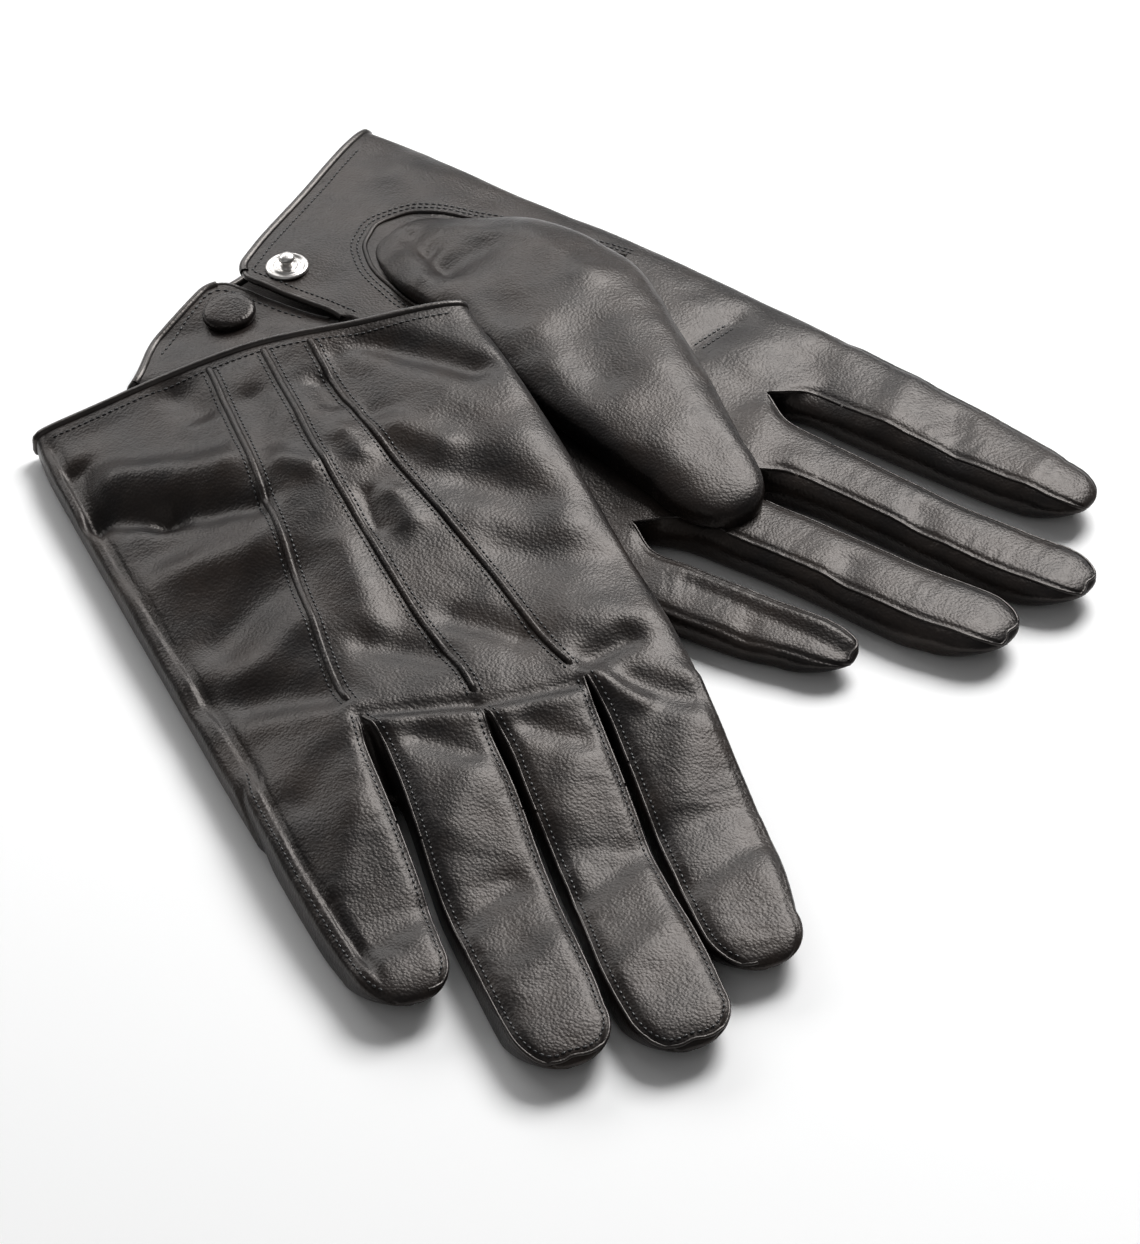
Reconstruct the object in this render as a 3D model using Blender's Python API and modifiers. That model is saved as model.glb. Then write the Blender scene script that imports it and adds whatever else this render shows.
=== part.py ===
"""A pair of lined dress gloves in black leather, laid one across the other.

The left glove lies palm up with its wrist snap open. The right glove lies back up, its cuff across
the left one's wrist. Both are the same flat glove: every piece is made palm up in the glove's own
frame and then laid as that glove lies, the right one turned over.
Glove frame, in mm: u from the index side to the little-finger side, v from the cuff to the
fingertips, h from the back leather up to the palm leather.
"""

import math

import bmesh
import bpy
from mathutils import Matrix, Vector

MM = 0.001

# Leather and the fits between pieces
LEATHER = 1.2
LINING_THICK = 0.6
EDGE_GAP = 0.3  # between pieces that meet edge to edge
STACK_GAP = 0.5  # between pieces that lie on each other
CUT_OVER = 6.0  # how far a cutter reaches past what it cuts

# How the two gloves lie: place of the cuff's middle and turn of the fingers from -Y
LEFT_AT = (21.55, 140.5)
LEFT_TURN = 15.7
RIGHT_AT = (-14.55, 85.5)
RIGHT_TURN = -15.6

# Hand: stations along the glove, its edges at each and its thickness
CUFF_FADE = 60.0  # the cuff's slant has gone this far up the hand
STATIONS = (0.0, 16.0, 34.0, 54.0, 76.0, 98.0, 120.0)
BACK_FORK = 133.0
PALM_FORK = 151.0
HAND = {
    "left": {
        "index": ((0, -56.0), (40, -53.5), (110, -50.5), (155, -49.0)),
        "little": ((0, 61.0), (40, 60.0), (110, 60.0), (155, 63.0)),
        "thick": ((0, 12.0), (40, 13.0), (110, 12.5), (155, 11.5)),
        "cuff_mid": 7.7,
        "cuff_slant": 0.103,
    },
    "right": {
        "index": ((0, -52.0), (40, -53.0), (110, -52.5), (155, -51.5)),
        "little": ((0, 55.0), (40, 56.0), (110, 56.0), (155, 55.0)),
        "thick": ((0, 9.0), (40, 10.5), (110, 10.5), (130, 10.4), (174, 12.0)),
        "cuff_mid": 1.3,
        "cuff_slant": -0.136,
    },
}
HAND_SPANS = 8
CORNER_STEPS = 3

# Fingers: middle line and width at the knuckle, at the fold and near the tip, fold and tip places
KNUCKLE = 126.0
TIP_ROUND = 13.0
FINGER_SPANS = 2
FINGERS = {
    "left": {
        "index": {"mid": (-34.5, -30.5, -28.0), "wide": (28.0, 30.0, 25.0), "fold": 176.0, "tip": 233.0},
        "middle": {"mid": (-2.0, 3.0, 1.5), "wide": (27.0, 20.5, 19.5), "fold": 182.0, "tip": 249.0},
        "ring": {"mid": (29.5, 31.0, 28.5), "wide": (27.0, 23.0, 22.5), "fold": 180.0, "tip": 243.5},
        "little": {"mid": (54.0, 58.0, 55.0), "wide": (18.0, 16.0, 15.5), "fold": 174.0, "tip": 217.0},
    },
    "right": {
        "index": {"mid": (-38.5, -34.2, -29.0), "wide": (26.0, 25.0, 23.5), "fold": 176.0, "tip": 236.5},
        "middle": {"mid": (-12.0, -8.3, -3.0), "wide": (23.5, 21.5, 22.0), "fold": 182.0, "tip": 250.0},
        "ring": {"mid": (13.0, 17.2, 21.8), "wide": (24.0, 23.5, 22.0), "fold": 180.0, "tip": 244.0},
        "little": {"mid": (40.5, 43.0, 45.0), "wide": (26.0, 22.0, 18.0), "fold": 174.0, "tip": 213.5},
    },
}
FINGER_THICK = {"left": {"index": 12.0, "middle": 12.0, "ring": 12.0, "little": 9.5},
                "right": {"index": 12.0, "middle": 12.0, "ring": 12.0, "little": 12.0}}
FINGER_ORDER = ("index", "middle", "ring", "little")
FOURCHETTE_DEEP = 2.0  # how much of a finger's width its side strip takes
FOURCHETTE_STOP = 15.0  # from the fingertip

# Thumbs, which lie on the palm: middle line (u, v), half width and height at each station
THUMB_GAP = 0.8
THUMB_SPANS = 4
THUMB = {
    "left": {
        "line": ((-20.0, 40.0), (-17.5, 55.0), (-14.5, 80.0), (-0.5, 108.0), (10.0, 132.0), (18.5, 151.0)),
        "half": (9.0, 18.0, 19.5, 22.0, 18.0, 13.0),
        "tall": (4.0, 6.0, 8.5, 10.0, 10.0, 9.0),
        "tip": (25.0, 166.5),
        "fold": 2,
        "hole": (-16.0, 60.0, 12.0),
    },
    "right": {
        "line": ((-17.0, 40.0), (-13.0, 50.0), (-8.0, 62.0), (6.0, 94.0), (16.0, 122.0), (21.0, 136.0)),
        "half": (8.0, 11.5, 13.5, 13.5, 12.0, 10.0),
        "tall": (4.0, 5.0, 5.5, 5.5, 5.5, 5.0),
        "tip": (26.0, 148.0),
        "fold": 2,
        "hole": (-11.5, 53.0, 7.4),
    },
}

# Cuff: rolled edge, vent in the palm, button flap, lining sleeve
ROLL_LONG = 2.4
ROLL_PROUD = 0.5
VENT_U = 15.6
VENT_WIDE = 1.8
VENT_LONG = 42.0
FLAP_FOLD_ALONG = 39.0  # the flap folds on a line from this far up the vent
FLAP_FOLD_ACROSS = 34.0  # to this far along the cuff
LINING_START = 3.0
LINING_LONG = 40.0

# Snap fastener: stud on the thumb side of the vent, covered cap and socket on the flap
STUD_U = 7.0
CAP_U = 27.0
SNAP_FROM_CUFF = 13.0
STUD_DISC = 10.8
STUD_DISC_THICK = 0.9
STUD_POST = 4.2
STUD_TALL = 3.6
CAP_ROUND = 13.2
CAP_TALL = 3.2
SOCKET_ROUND = 9.0
SOCKET_THICK = 1.6
EYELET_ROUND = 8.0
EYELET_THICK = 0.8
ROUND_STEPS = 20

# Points: the three raised ribs stitched on the back, their u at the cuff, mid-hand and the forks
POINTS = {
    "index": ((11, -12.5), (34, -12.8), (66, -15.5), (122, -22.5)),
    "middle": ((11, -1.5), (66, 1.3), (122, 0.6)),
    "little": ((11, 11.5), (66, 18.3), (122, 25.0)),
}
POINT_START = 11.0
POINT_END = 122.0
POINT_WIDE = 2.2
POINT_TALL = 0.9
POINT_SUNK = 0.5  # the lower glove's ribs are pressed flush into its back by its own weight
GROOVE_DEEP = 0.8

# How the right glove drapes over the left one: height of its palm above what it lies on
RISE_FROM = ((0, 44.0), (60, 44.0), (100, 46.0), (150, 54.0))
RISE_TO = ((0, -10.0), (60, 15.0), (100, 22.0), (150, 38.0))
RISE = ((0, 15.0), (60, 12.0), (100, 8.6), (150, 6.6), (180, 0.0))
INDEX_RISE = ((0, 4.8), (60, 2.8), (100, 1.4), (150, 0.0))
INDEX_RISE_FROM = -10.0
SOFTEN = 10.0
# The left glove is pressed thinner towards its little-finger side, where the other lies on it
PRESS_FROM = 14.0
PRESS_TO = 60.0
PRESSED = 0.64
PRESS_END = 172.0

FINISH = {
    "leather": ((0.018, 0.015, 0.013, 1.0), 0.46, 0.0),
    "edge_leather": ((0.010, 0.009, 0.009, 1.0), 0.30, 0.0),
    "lining": ((0.030, 0.028, 0.027, 1.0), 0.85, 0.0),
    "nickel": ((0.72, 0.70, 0.67, 1.0), 0.26, 1.0),
    "dark_metal": ((0.20, 0.19, 0.18, 1.0), 0.40, 1.0),
}


def clear_scene():
    for obj in list(bpy.data.objects):
        bpy.data.objects.remove(obj)


def along(table, v):
    """Value at v on a line drawn through the table's points."""
    if v <= table[0][0]:
        return table[0][1]
    for (v0, a), (v1, b) in zip(table, table[1:]):
        if v <= v1:
            return a + (b - a) * (v - v0) / (v1 - v0)
    return table[-1][1]


def ramp(x, soft):
    """0 below 0 and x above it, with a round corner."""
    if x <= -soft:
        return 0.0
    if x >= soft:
        return x
    return (x + soft) ** 2 / (4 * soft)


def cuff_v(side, u):
    return HAND[side]["cuff_mid"] + HAND[side]["cuff_slant"] * u


def hand_v(side, station, u):
    """Place of a point of a station: near the cuff the stations slant with it."""
    return station + cuff_v(side, u) * max(0.0, 1.0 - station / CUFF_FADE)


def press(u, v):
    share = min(1.0, max(0.0, (u - PRESS_FROM) / (PRESS_TO - PRESS_FROM)))
    fade = min(1.0, max(0.0, (PRESS_END - v) / (PRESS_END - PALM_FORK)))
    return 1.0 - (1.0 - PRESSED) * share * fade


def lift(u, v):
    """Height of the right glove's palm leather over the table."""
    start = along(RISE_FROM, v)
    stop = along(RISE_TO, v)
    run = start - stop
    rise = (ramp(start - u, SOFTEN) - ramp(stop - u, SOFTEN)) / run
    edge = ramp(INDEX_RISE_FROM - u, SOFTEN) / (INDEX_RISE_FROM - HAND["right"]["index"][0][1])
    return along(RISE, v) * rise + along(INDEX_RISE, v) * edge


def laid(side, u, v, h):
    """A flat-glove point as that glove lies, in mm in the glove's frame."""
    if side == "left":
        return Vector((u, v, h * press(u, v)))
    return Vector((u, v, lift(u, v) + along(HAND["right"]["thick"], v) - h))


def material(name):
    made = bpy.data.materials.get(name)
    if made:
        return made
    colour, rough, metal = FINISH[name]
    made = bpy.data.materials.new(name)
    made.use_nodes = True
    shader = made.node_tree.nodes["Principled BSDF"]
    shader.inputs["Base Color"].default_value = colour
    shader.inputs["Roughness"].default_value = rough
    shader.inputs["Metallic"].default_value = metal
    return made


def mesh_object(name, points, faces):
    mesh = bpy.data.meshes.new(name)
    mesh.from_pydata([tuple(p) for p in points], [], faces)
    work = bmesh.new()
    work.from_mesh(mesh)
    bmesh.ops.remove_doubles(work, verts=work.verts, dist=1e-5)
    bmesh.ops.recalc_face_normals(work, faces=work.faces)
    work.to_mesh(mesh)
    work.free()
    obj = bpy.data.objects.new(name, mesh)
    bpy.context.scene.collection.objects.link(obj)
    return obj


def loft(name, rings):
    """Closed solid through rings of equal count, capped at both ends."""
    count = len(rings[0])
    points = [p for ring in rings for p in ring]
    faces = [tuple(range(count)), tuple(range(len(points) - count, len(points)))]
    for i in range(len(rings) - 1):
        for j in range(count):
            k = (j + 1) % count
            faces.append((i * count + j, i * count + k, (i + 1) * count + k, (i + 1) * count + j))
    return mesh_object(name, points, faces)


def pillow(half, low, high, spans):
    """Section of a flattened tube: flat above and below, round at the sides, as (x, h)."""
    corner = min(0.48 * (high - low), 0.8 * half)
    points = []
    centres = ((half - corner, high - corner, 0), (corner - half, high - corner, 90),
               (corner - half, low + corner, 180), (half - corner, low + corner, 270))
    for number, (x, h, start) in enumerate(centres):
        for step in range(CORNER_STEPS + 1):
            angle = math.radians(start + 90 * step / CORNER_STEPS)
            points.append((x + corner * math.cos(angle), h + corner * math.sin(angle)))
        if number in (0, 2):
            run = 2 * (half - corner) * (-1 if number == 0 else 1)
            here = points[-1]
            points += [(here[0] + run * i / spans, here[1]) for i in range(1, spans)]
    return points


def box(name, low, high):
    corners = [(x, y, z) for x in (low[0], high[0]) for y in (low[1], high[1]) for z in (low[2], high[2])]
    faces = [(0, 1, 3, 2), (4, 6, 7, 5), (0, 4, 5, 1), (2, 3, 7, 6), (0, 2, 6, 4), (1, 5, 7, 3)]
    return mesh_object(name, corners, faces)


def prism(name, outline, low, high):
    """Upright solid on an outline of (u, v) points."""
    return loft(name, [[(u, v, low) for u, v in outline], [(u, v, high) for u, v in outline]])


def boolean(target, others, operation):
    """Applies one Boolean with each other object, which is then removed."""
    for other in others:
        step = target.modifiers.new(operation, "BOOLEAN")
        step.operation = operation
        step.solver = "EXACT"
        step.object = other
        graph = bpy.context.evaluated_depsgraph_get()
        made = bpy.data.meshes.new_from_object(target.evaluated_get(graph))
        target.modifiers.clear()
        target.data = made
    for other in others:
        bpy.data.objects.remove(other)
    return target


def copy_of(obj):
    made = obj.copy()
    made.data = obj.data.copy()
    bpy.context.scene.collection.objects.link(made)
    return made


def empty(name, parent=None, at=Vector((0, 0, 0))):
    made = bpy.data.objects.new(name, None)
    bpy.context.scene.collection.objects.link(made)
    made.parent = parent
    made.location = at * MM
    return made


def finish(obj, name, side, finish_name, parent, origin=Vector((0, 0, 0))):
    """Lays a flat piece as its glove lies, names it and hangs it on its parent, which stands at origin."""
    work = bmesh.new()
    work.from_mesh(obj.data)
    bmesh.ops.triangulate(work, faces=work.faces)
    for vert in work.verts:
        vert.co = (laid(side, *vert.co) - origin) * MM
    if side == "right":
        bmesh.ops.reverse_faces(work, faces=work.faces)
    work.to_mesh(obj.data)
    work.free()
    obj.name = f"{side}_{name}"
    obj.data.materials.clear()
    obj.data.materials.append(material(finish_name))
    obj.parent = parent
    return obj


def hand_ring(side, station, inset, low_in, high_in):
    left = along(HAND[side]["index"], station) + inset
    right = along(HAND[side]["little"], station) - inset
    thick = along(HAND[side]["thick"], station)
    half = (right - left) / 2
    mid = (right + left) / 2
    ring = []
    for x, h in pillow(half, low_in, thick - high_in, HAND_SPANS):
        v = hand_v(side, station, mid + x)
        ring.append((mid + x, v, h * along(HAND[side]["thick"], v) / thick))
    return ring


def fork_ring(side, inset):
    """End of the hand at the forks, which sit nearer the cuff on the back than on the palm."""
    thick = along(HAND[side]["thick"], PALM_FORK)
    ring = []
    for u, v, h in hand_ring(side, PALM_FORK, inset, inset, inset):
        ring.append((u, BACK_FORK + (PALM_FORK - BACK_FORK) * h / thick - inset, h))
    return ring


def hand_solid(side, inset, start):
    rings = [hand_ring(side, s, inset, inset, inset) for s in STATIONS]
    if start < 0:
        rings[0] = [(u, v + start, h) for u, v, h in rings[0]]
    return loft("hand", rings + [fork_ring(side, inset)])


def finger_middle(side, finger, v):
    made = FINGERS[side][finger]
    table = ((KNUCKLE, made["mid"][0]), (made["fold"], made["mid"][1]), (made["tip"], made["mid"][2]))
    return along(table, v)


def finger_half(side, finger, v):
    made = FINGERS[side][finger]
    table = ((KNUCKLE, made["wide"][0]), (made["fold"], made["wide"][1]), (made["tip"], made["wide"][2]))
    return along(table, v) / 2


def finger_top(side, finger, v):
    """Thickness: the hand's at the knuckle, the finger's own past the fold."""
    knuckle = along(HAND[side]["thick"], KNUCKLE) - 2 * EDGE_GAP
    table = ((KNUCKLE, knuckle), (FINGERS[side][finger]["fold"], FINGER_THICK[side][finger]))
    return along(table, v)


def finger_ring(side, finger, v, share, inset):
    mid = finger_middle(side, finger, v)
    half = finger_half(side, finger, v) * share - inset
    top = finger_top(side, finger, v)
    low = inset + 0.2 * top * (1 - share)
    high = top - inset - 0.3 * top * (1 - share)
    return [(mid + x, v, h) for x, h in pillow(half, low, high, FINGER_SPANS)]


def finger_solid(side, finger, start, stop, inset):
    """Finger from start to stop, rounded off if that is its tip."""
    tip = FINGERS[side][finger]["tip"]
    stops = [start]
    while stops[-1] + 24 < min(stop, tip - TIP_ROUND):
        stops.append(stops[-1] + 24)
    rings = [finger_ring(side, finger, v, 1.0, inset) for v in stops]
    if stop < tip:
        rings.append(finger_ring(side, finger, stop, 1.0, inset))
    else:
        for angle in (0, 35, 62, 80):
            turn = math.radians(angle)
            v = tip - TIP_ROUND + (TIP_ROUND - inset) * math.sin(turn)
            rings.append(finger_ring(side, finger, v, math.cos(turn) ** 0.8, inset))
    return loft(finger, rings)


def finger_pieces(side, finger, root):
    """Leather of one finger past its fold, and the strips that join back and palm at its inner sides."""
    fold = FINGERS[side][finger]["fold"]
    tip = FINGERS[side][finger]["tip"]
    start = fold + EDGE_GAP / 2
    skin = finger_solid(side, finger, start, tip, 0.0)
    skin = boolean(skin, [finger_solid(side, finger, start - CUT_OVER, tip, LEATHER)], "DIFFERENCE")
    top = finger_top(side, finger, fold)
    at = laid(side, finger_middle(side, finger, fold), fold, top if side == "left" else 0.0)
    parent = empty(f"{side}_{finger}_fold", root, at)
    number = FINGER_ORDER.index(finger)
    end = tip - FOURCHETTE_STOP
    for step, far in ((-1, 0), (1, 3)):
        if number == far:
            continue
        neighbour = FINGER_ORDER[number + step]
        outline = []
        for v in (start - CUT_OVER, end):
            mid = finger_middle(side, finger, v)
            half = finger_half(side, finger, v)
            outline.append((mid + step * (half - FOURCHETTE_DEEP), v))
        outline.append((outline[1][0] + step * 2 * CUT_OVER, end))
        outline.append((outline[0][0] + step * 2 * CUT_OVER, start - CUT_OVER))
        if step < 0:
            outline.reverse()
        grown = [(u - step * EDGE_GAP if i in ((0, 1) if step > 0 else (2, 3)) else u,
                  v + EDGE_GAP if v == end else v) for i, (u, v) in enumerate(outline)]
        strip = boolean(copy_of(skin), [prism("cut", outline, -CUT_OVER, 3 * CUT_OVER)], "INTERSECT")
        skin = boolean(skin, [prism("cut", grown, -CUT_OVER, 3 * CUT_OVER)], "DIFFERENCE")
        name = f"{finger}_fourchette_{neighbour}_side"
        finish(strip, name, side, "leather", parent, at)
    return finish(skin, f"{finger}_finger", side, "leather", parent, at)


def thumb_ring(side, at, towards, half, low, high):
    across = Vector((towards.y, -towards.x))
    return [(at[0] + across.x * x, at[1] + across.y * x, h) for x, h in pillow(half, low, high, THUMB_SPANS)]


def thumb_solid(side, first, last, inset, before, with_tip):
    """Thumb between two of its stations, on top of the palm leather."""
    made = THUMB[side]
    line = [Vector(p) for p in made["line"]]
    fold = made["fold"]
    towards = (line[fold + 1] - line[fold]).normalized()
    rings = []
    for step in range(2 * first, 2 * last + 1):
        i = step // 2
        nearer = min(i + step % 2, last)
        place = (line[i] + line[nearer]) / 2
        half = (made["half"][i] + made["half"][nearer]) / 2 - inset
        tall = (made["tall"][i] + made["tall"][nearer]) / 2
        base = along(HAND[side]["thick"], place.y) + THUMB_GAP
        rings.append((place, half, base + inset, base + tall - inset))
    if before:
        place, half, low, high = rings[0]
        rings.insert(0, (place - towards * before, half, low, high))
    if with_tip:
        place, half, low, high = rings[-1]
        end = Vector(made["tip"])
        mid = place.lerp(end, 0.55)
        near = place.lerp(end, 0.9 - inset * 0.05)
        rings.append((mid, half * 0.8, low + 0.3, high - 0.8))
        rings.append((near, half * 0.42, low + 1.0, high - 2.0 + inset * 0.5))
    else:
        place, half, low, high = rings[-1]
        rings[-1] = (place + towards * inset * CUT_OVER, half, low, high)
    return loft("thumb", [thumb_ring(side, p, towards, w, a, b) for p, w, a, b in rings]), towards


def disc(name, radius, low, high, centre):
    u, v = centre
    outline = []
    for step in range(ROUND_STEPS):
        angle = 2 * math.pi * step / ROUND_STEPS
        outline.append((u + radius * math.cos(angle), v + radius * math.sin(angle)))
    return prism(name, outline, low, high)


def thumb_pieces(side, root):
    """Ball of the thumb, sewn to the palm, and the thumb itself past its fold."""
    made = THUMB[side]
    fold = made["fold"]
    last = len(made["line"]) - 1
    base, _ = thumb_solid(side, 0, fold, 0.0, 0, False)
    inner, towards = thumb_solid(side, 0, fold, LEATHER, 0, False)
    u, v, radius = made["hole"]
    palm = along(HAND[side]["thick"], v)
    hole = disc("hole", radius, 0.6 * palm, palm + THUMB_GAP + 2 * LEATHER, (u, v))
    base = boolean(base, [inner, hole], "DIFFERENCE")
    finish(base, "thumb_base", side, "leather", root)
    tip, _ = thumb_solid(side, fold, last, 0.0, 0, True)
    hollow, _ = thumb_solid(side, fold, last, LEATHER, CUT_OVER, True)
    tip = boolean(tip, [hollow], "DIFFERENCE")
    for vert in tip.data.vertices:
        vert.co.x += towards.x * EDGE_GAP
        vert.co.y += towards.y * EDGE_GAP
    place = Vector(made["line"][fold])
    high = along(HAND[side]["thick"], place.y) + THUMB_GAP
    if side == "left":
        at = laid(side, place.x, place.y, high + made["tall"][fold])
    else:
        across = Vector((towards.y, -towards.x))
        corner = place - across * made["half"][fold]
        at = laid(side, corner.x, corner.y, high)
    return finish(tip, "thumb", side, "leather", empty(f"{side}_thumb_fold", root, at), at)


def snap_v(side, u):
    return hand_v(side, 0.0, u) + SNAP_FROM_CUFF


def seat(side, u, h):
    """Place and turn of a small round piece lying on the palm leather, its own +Z out of the glove."""
    v = snap_v(side, u)
    at = laid(side, u, v, h)
    along_u = laid(side, u + 5, v, h) - laid(side, u - 5, v, h)
    along_v = laid(side, u, v + 5, h) - laid(side, u, v - 5, h)
    up = laid(side, u, v, h + 1) - at
    normal = along_u.cross(along_v).normalized()
    if normal.dot(up) < 0:
        normal = -normal
    first = along_u.normalized()
    second = normal.cross(first).normalized()
    turned = Matrix((first, second, normal)).transposed()
    return at, turned.to_euler()


def turned_piece(name, profile):
    """Round piece made by turning a profile of (radius, height), closed at both ends on the axis."""
    mesh = bpy.data.meshes.new(name)
    mesh.from_pydata([(r * MM, 0.0, z * MM) for r, z in profile], [(i, i + 1) for i in range(len(profile) - 1)], [])
    obj = bpy.data.objects.new(name, mesh)
    bpy.context.scene.collection.objects.link(obj)
    screw = obj.modifiers.new("turn", "SCREW")
    screw.steps = ROUND_STEPS
    screw.render_steps = ROUND_STEPS
    screw.use_merge_vertices = True
    screw.merge_threshold = 0.00001
    screw.use_normal_calculate = True
    graph = bpy.context.evaluated_depsgraph_get()
    made = bpy.data.meshes.new_from_object(obj.evaluated_get(graph))
    obj.modifiers.clear()
    obj.data = made
    work = bmesh.new()
    work.from_mesh(made)
    bmesh.ops.remove_doubles(work, verts=work.verts, dist=1e-6)
    bmesh.ops.recalc_face_normals(work, faces=work.faces)
    for face in work.faces:
        face.smooth = True
    work.to_mesh(made)
    work.free()
    return obj


def place_round(obj, name, side, u, h, finish_name, parent, origin=Vector((0, 0, 0))):
    at, turn = seat(side, u, h)
    obj.name = f"{side}_{name}"
    obj.data.materials.append(material(finish_name))
    obj.rotation_euler = turn
    obj.location = (at - origin) * MM
    obj.parent = parent
    return obj


def snap_pieces(side, root, flap_fold, flap_at):
    """Stud and its back plate beside the vent, covered cap and socket through the button flap."""
    stud_v = snap_v(side, STUD_U)
    palm = along(HAND[side]["thick"], stud_v)
    disc_r = STUD_DISC / 2
    post_r = STUD_POST / 2
    stud = turned_piece("stud", [
        (0, 0), (disc_r, 0), (disc_r, STUD_DISC_THICK * 0.6), (disc_r - 0.8, STUD_DISC_THICK),
        (post_r * 0.82, STUD_DISC_THICK), (post_r * 0.82, STUD_TALL * 0.6), (post_r, STUD_TALL * 0.78),
        (post_r * 0.8, STUD_TALL * 0.95), (0, STUD_TALL)])
    place_round(stud, "snap_stud", side, STUD_U, palm + STACK_GAP, "nickel", root)
    eyelet = turned_piece("eyelet", [(0, -EYELET_THICK), (EYELET_ROUND / 2, -EYELET_THICK),
                                     (EYELET_ROUND / 2, 0), (0, 0)])
    place_round(eyelet, "snap_stud_back", side, STUD_U, palm - LEATHER - STACK_GAP, "dark_metal", root)
    cap_r = CAP_ROUND / 2
    cap = turned_piece("cap", [(0, 0), (cap_r - 0.4, 0), (cap_r, 0.8), (cap_r - 0.5, CAP_TALL * 0.7),
                               (cap_r * 0.6, CAP_TALL * 0.93), (0, CAP_TALL)])
    place_round(cap, "snap_cap", side, CAP_U, palm + STACK_GAP, "edge_leather", flap_fold, flap_at)
    socket = turned_piece("socket", [(0, -SOCKET_THICK * 0.5), (post_r, -SOCKET_THICK * 0.5),
                                     (post_r, -SOCKET_THICK), (SOCKET_ROUND / 2 - 0.5, -SOCKET_THICK),
                                     (SOCKET_ROUND / 2, -SOCKET_THICK * 0.5), (SOCKET_ROUND / 2, 0), (0, 0)])
    place_round(socket, "snap_socket", side, CAP_U, palm - LEATHER - STACK_GAP, "nickel", flap_fold, flap_at)


def flap_fold_ends(side):
    """Ends of the button flap's fold line: on the vent and on the cuff."""
    edge = VENT_U + VENT_WIDE / 2
    return (Vector((edge, cuff_v(side, edge) + FLAP_FOLD_ALONG)),
            Vector((edge + FLAP_FOLD_ACROSS, cuff_v(side, edge + FLAP_FOLD_ACROSS))))


def flap_region(side, grow, low):
    """Upright solid over the button flap: the corner that the vent, the cuff and the fold line enclose."""
    on_vent, on_cuff = flap_fold_ends(side)
    fold = (on_cuff - on_vent).normalized()
    out = Vector((-fold.y, fold.x)) * grow
    edge = on_vent.x - grow
    on_vent = on_vent + out - fold * (out.x + grow) / fold.x
    on_cuff = on_cuff + out + fold * 3 * CUT_OVER
    outline = ((edge, on_cuff.y), (on_cuff.x, on_cuff.y), (edge, on_vent.y))
    return prism("flap", outline, low, 4 * CUT_OVER)


def vent_region(side, low):
    near = cuff_v(side, VENT_U) - 4 * CUT_OVER
    far = cuff_v(side, VENT_U) + VENT_LONG
    outline = ((VENT_U - VENT_WIDE / 2, near), (VENT_U + VENT_WIDE / 2 + 0.2, near),
               (VENT_U + VENT_WIDE / 2 + 0.2, far), (VENT_U - VENT_WIDE / 2, far))
    return prism("vent", outline, low, 4 * CUT_OVER)


def roll_solid(side, inset, start, stop):
    """Ring along the cuff line between two distances from it, never lower than the hand it ends."""
    low_in = max(0.0, inset) if side == "left" else inset
    high_in = max(0.0, inset) if side == "right" else inset
    ring = hand_ring(side, 0.0, inset, low_in, high_in)
    return loft("roll", [[(u, v + start, h) for u, v, h in ring], [(u, v + stop, h) for u, v, h in ring]])


def point_strip(name, wide, low, high, lengthen):
    """Rib along the back with a station wherever the hand has one, so that it lies on it closely."""
    stops = [POINT_START - lengthen]
    stops += [s for s in STATIONS if POINT_START < s < POINT_END]
    stops.append(POINT_END + lengthen)
    rings = []
    for v in stops:
        u = along(POINTS[name], v)
        rings.append([(u - wide / 2, v, low), (u + wide / 2, v, low), (u + wide / 4, v, high),
                      (u - wide / 4, v, high)])
    return loft("point", rings)


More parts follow.
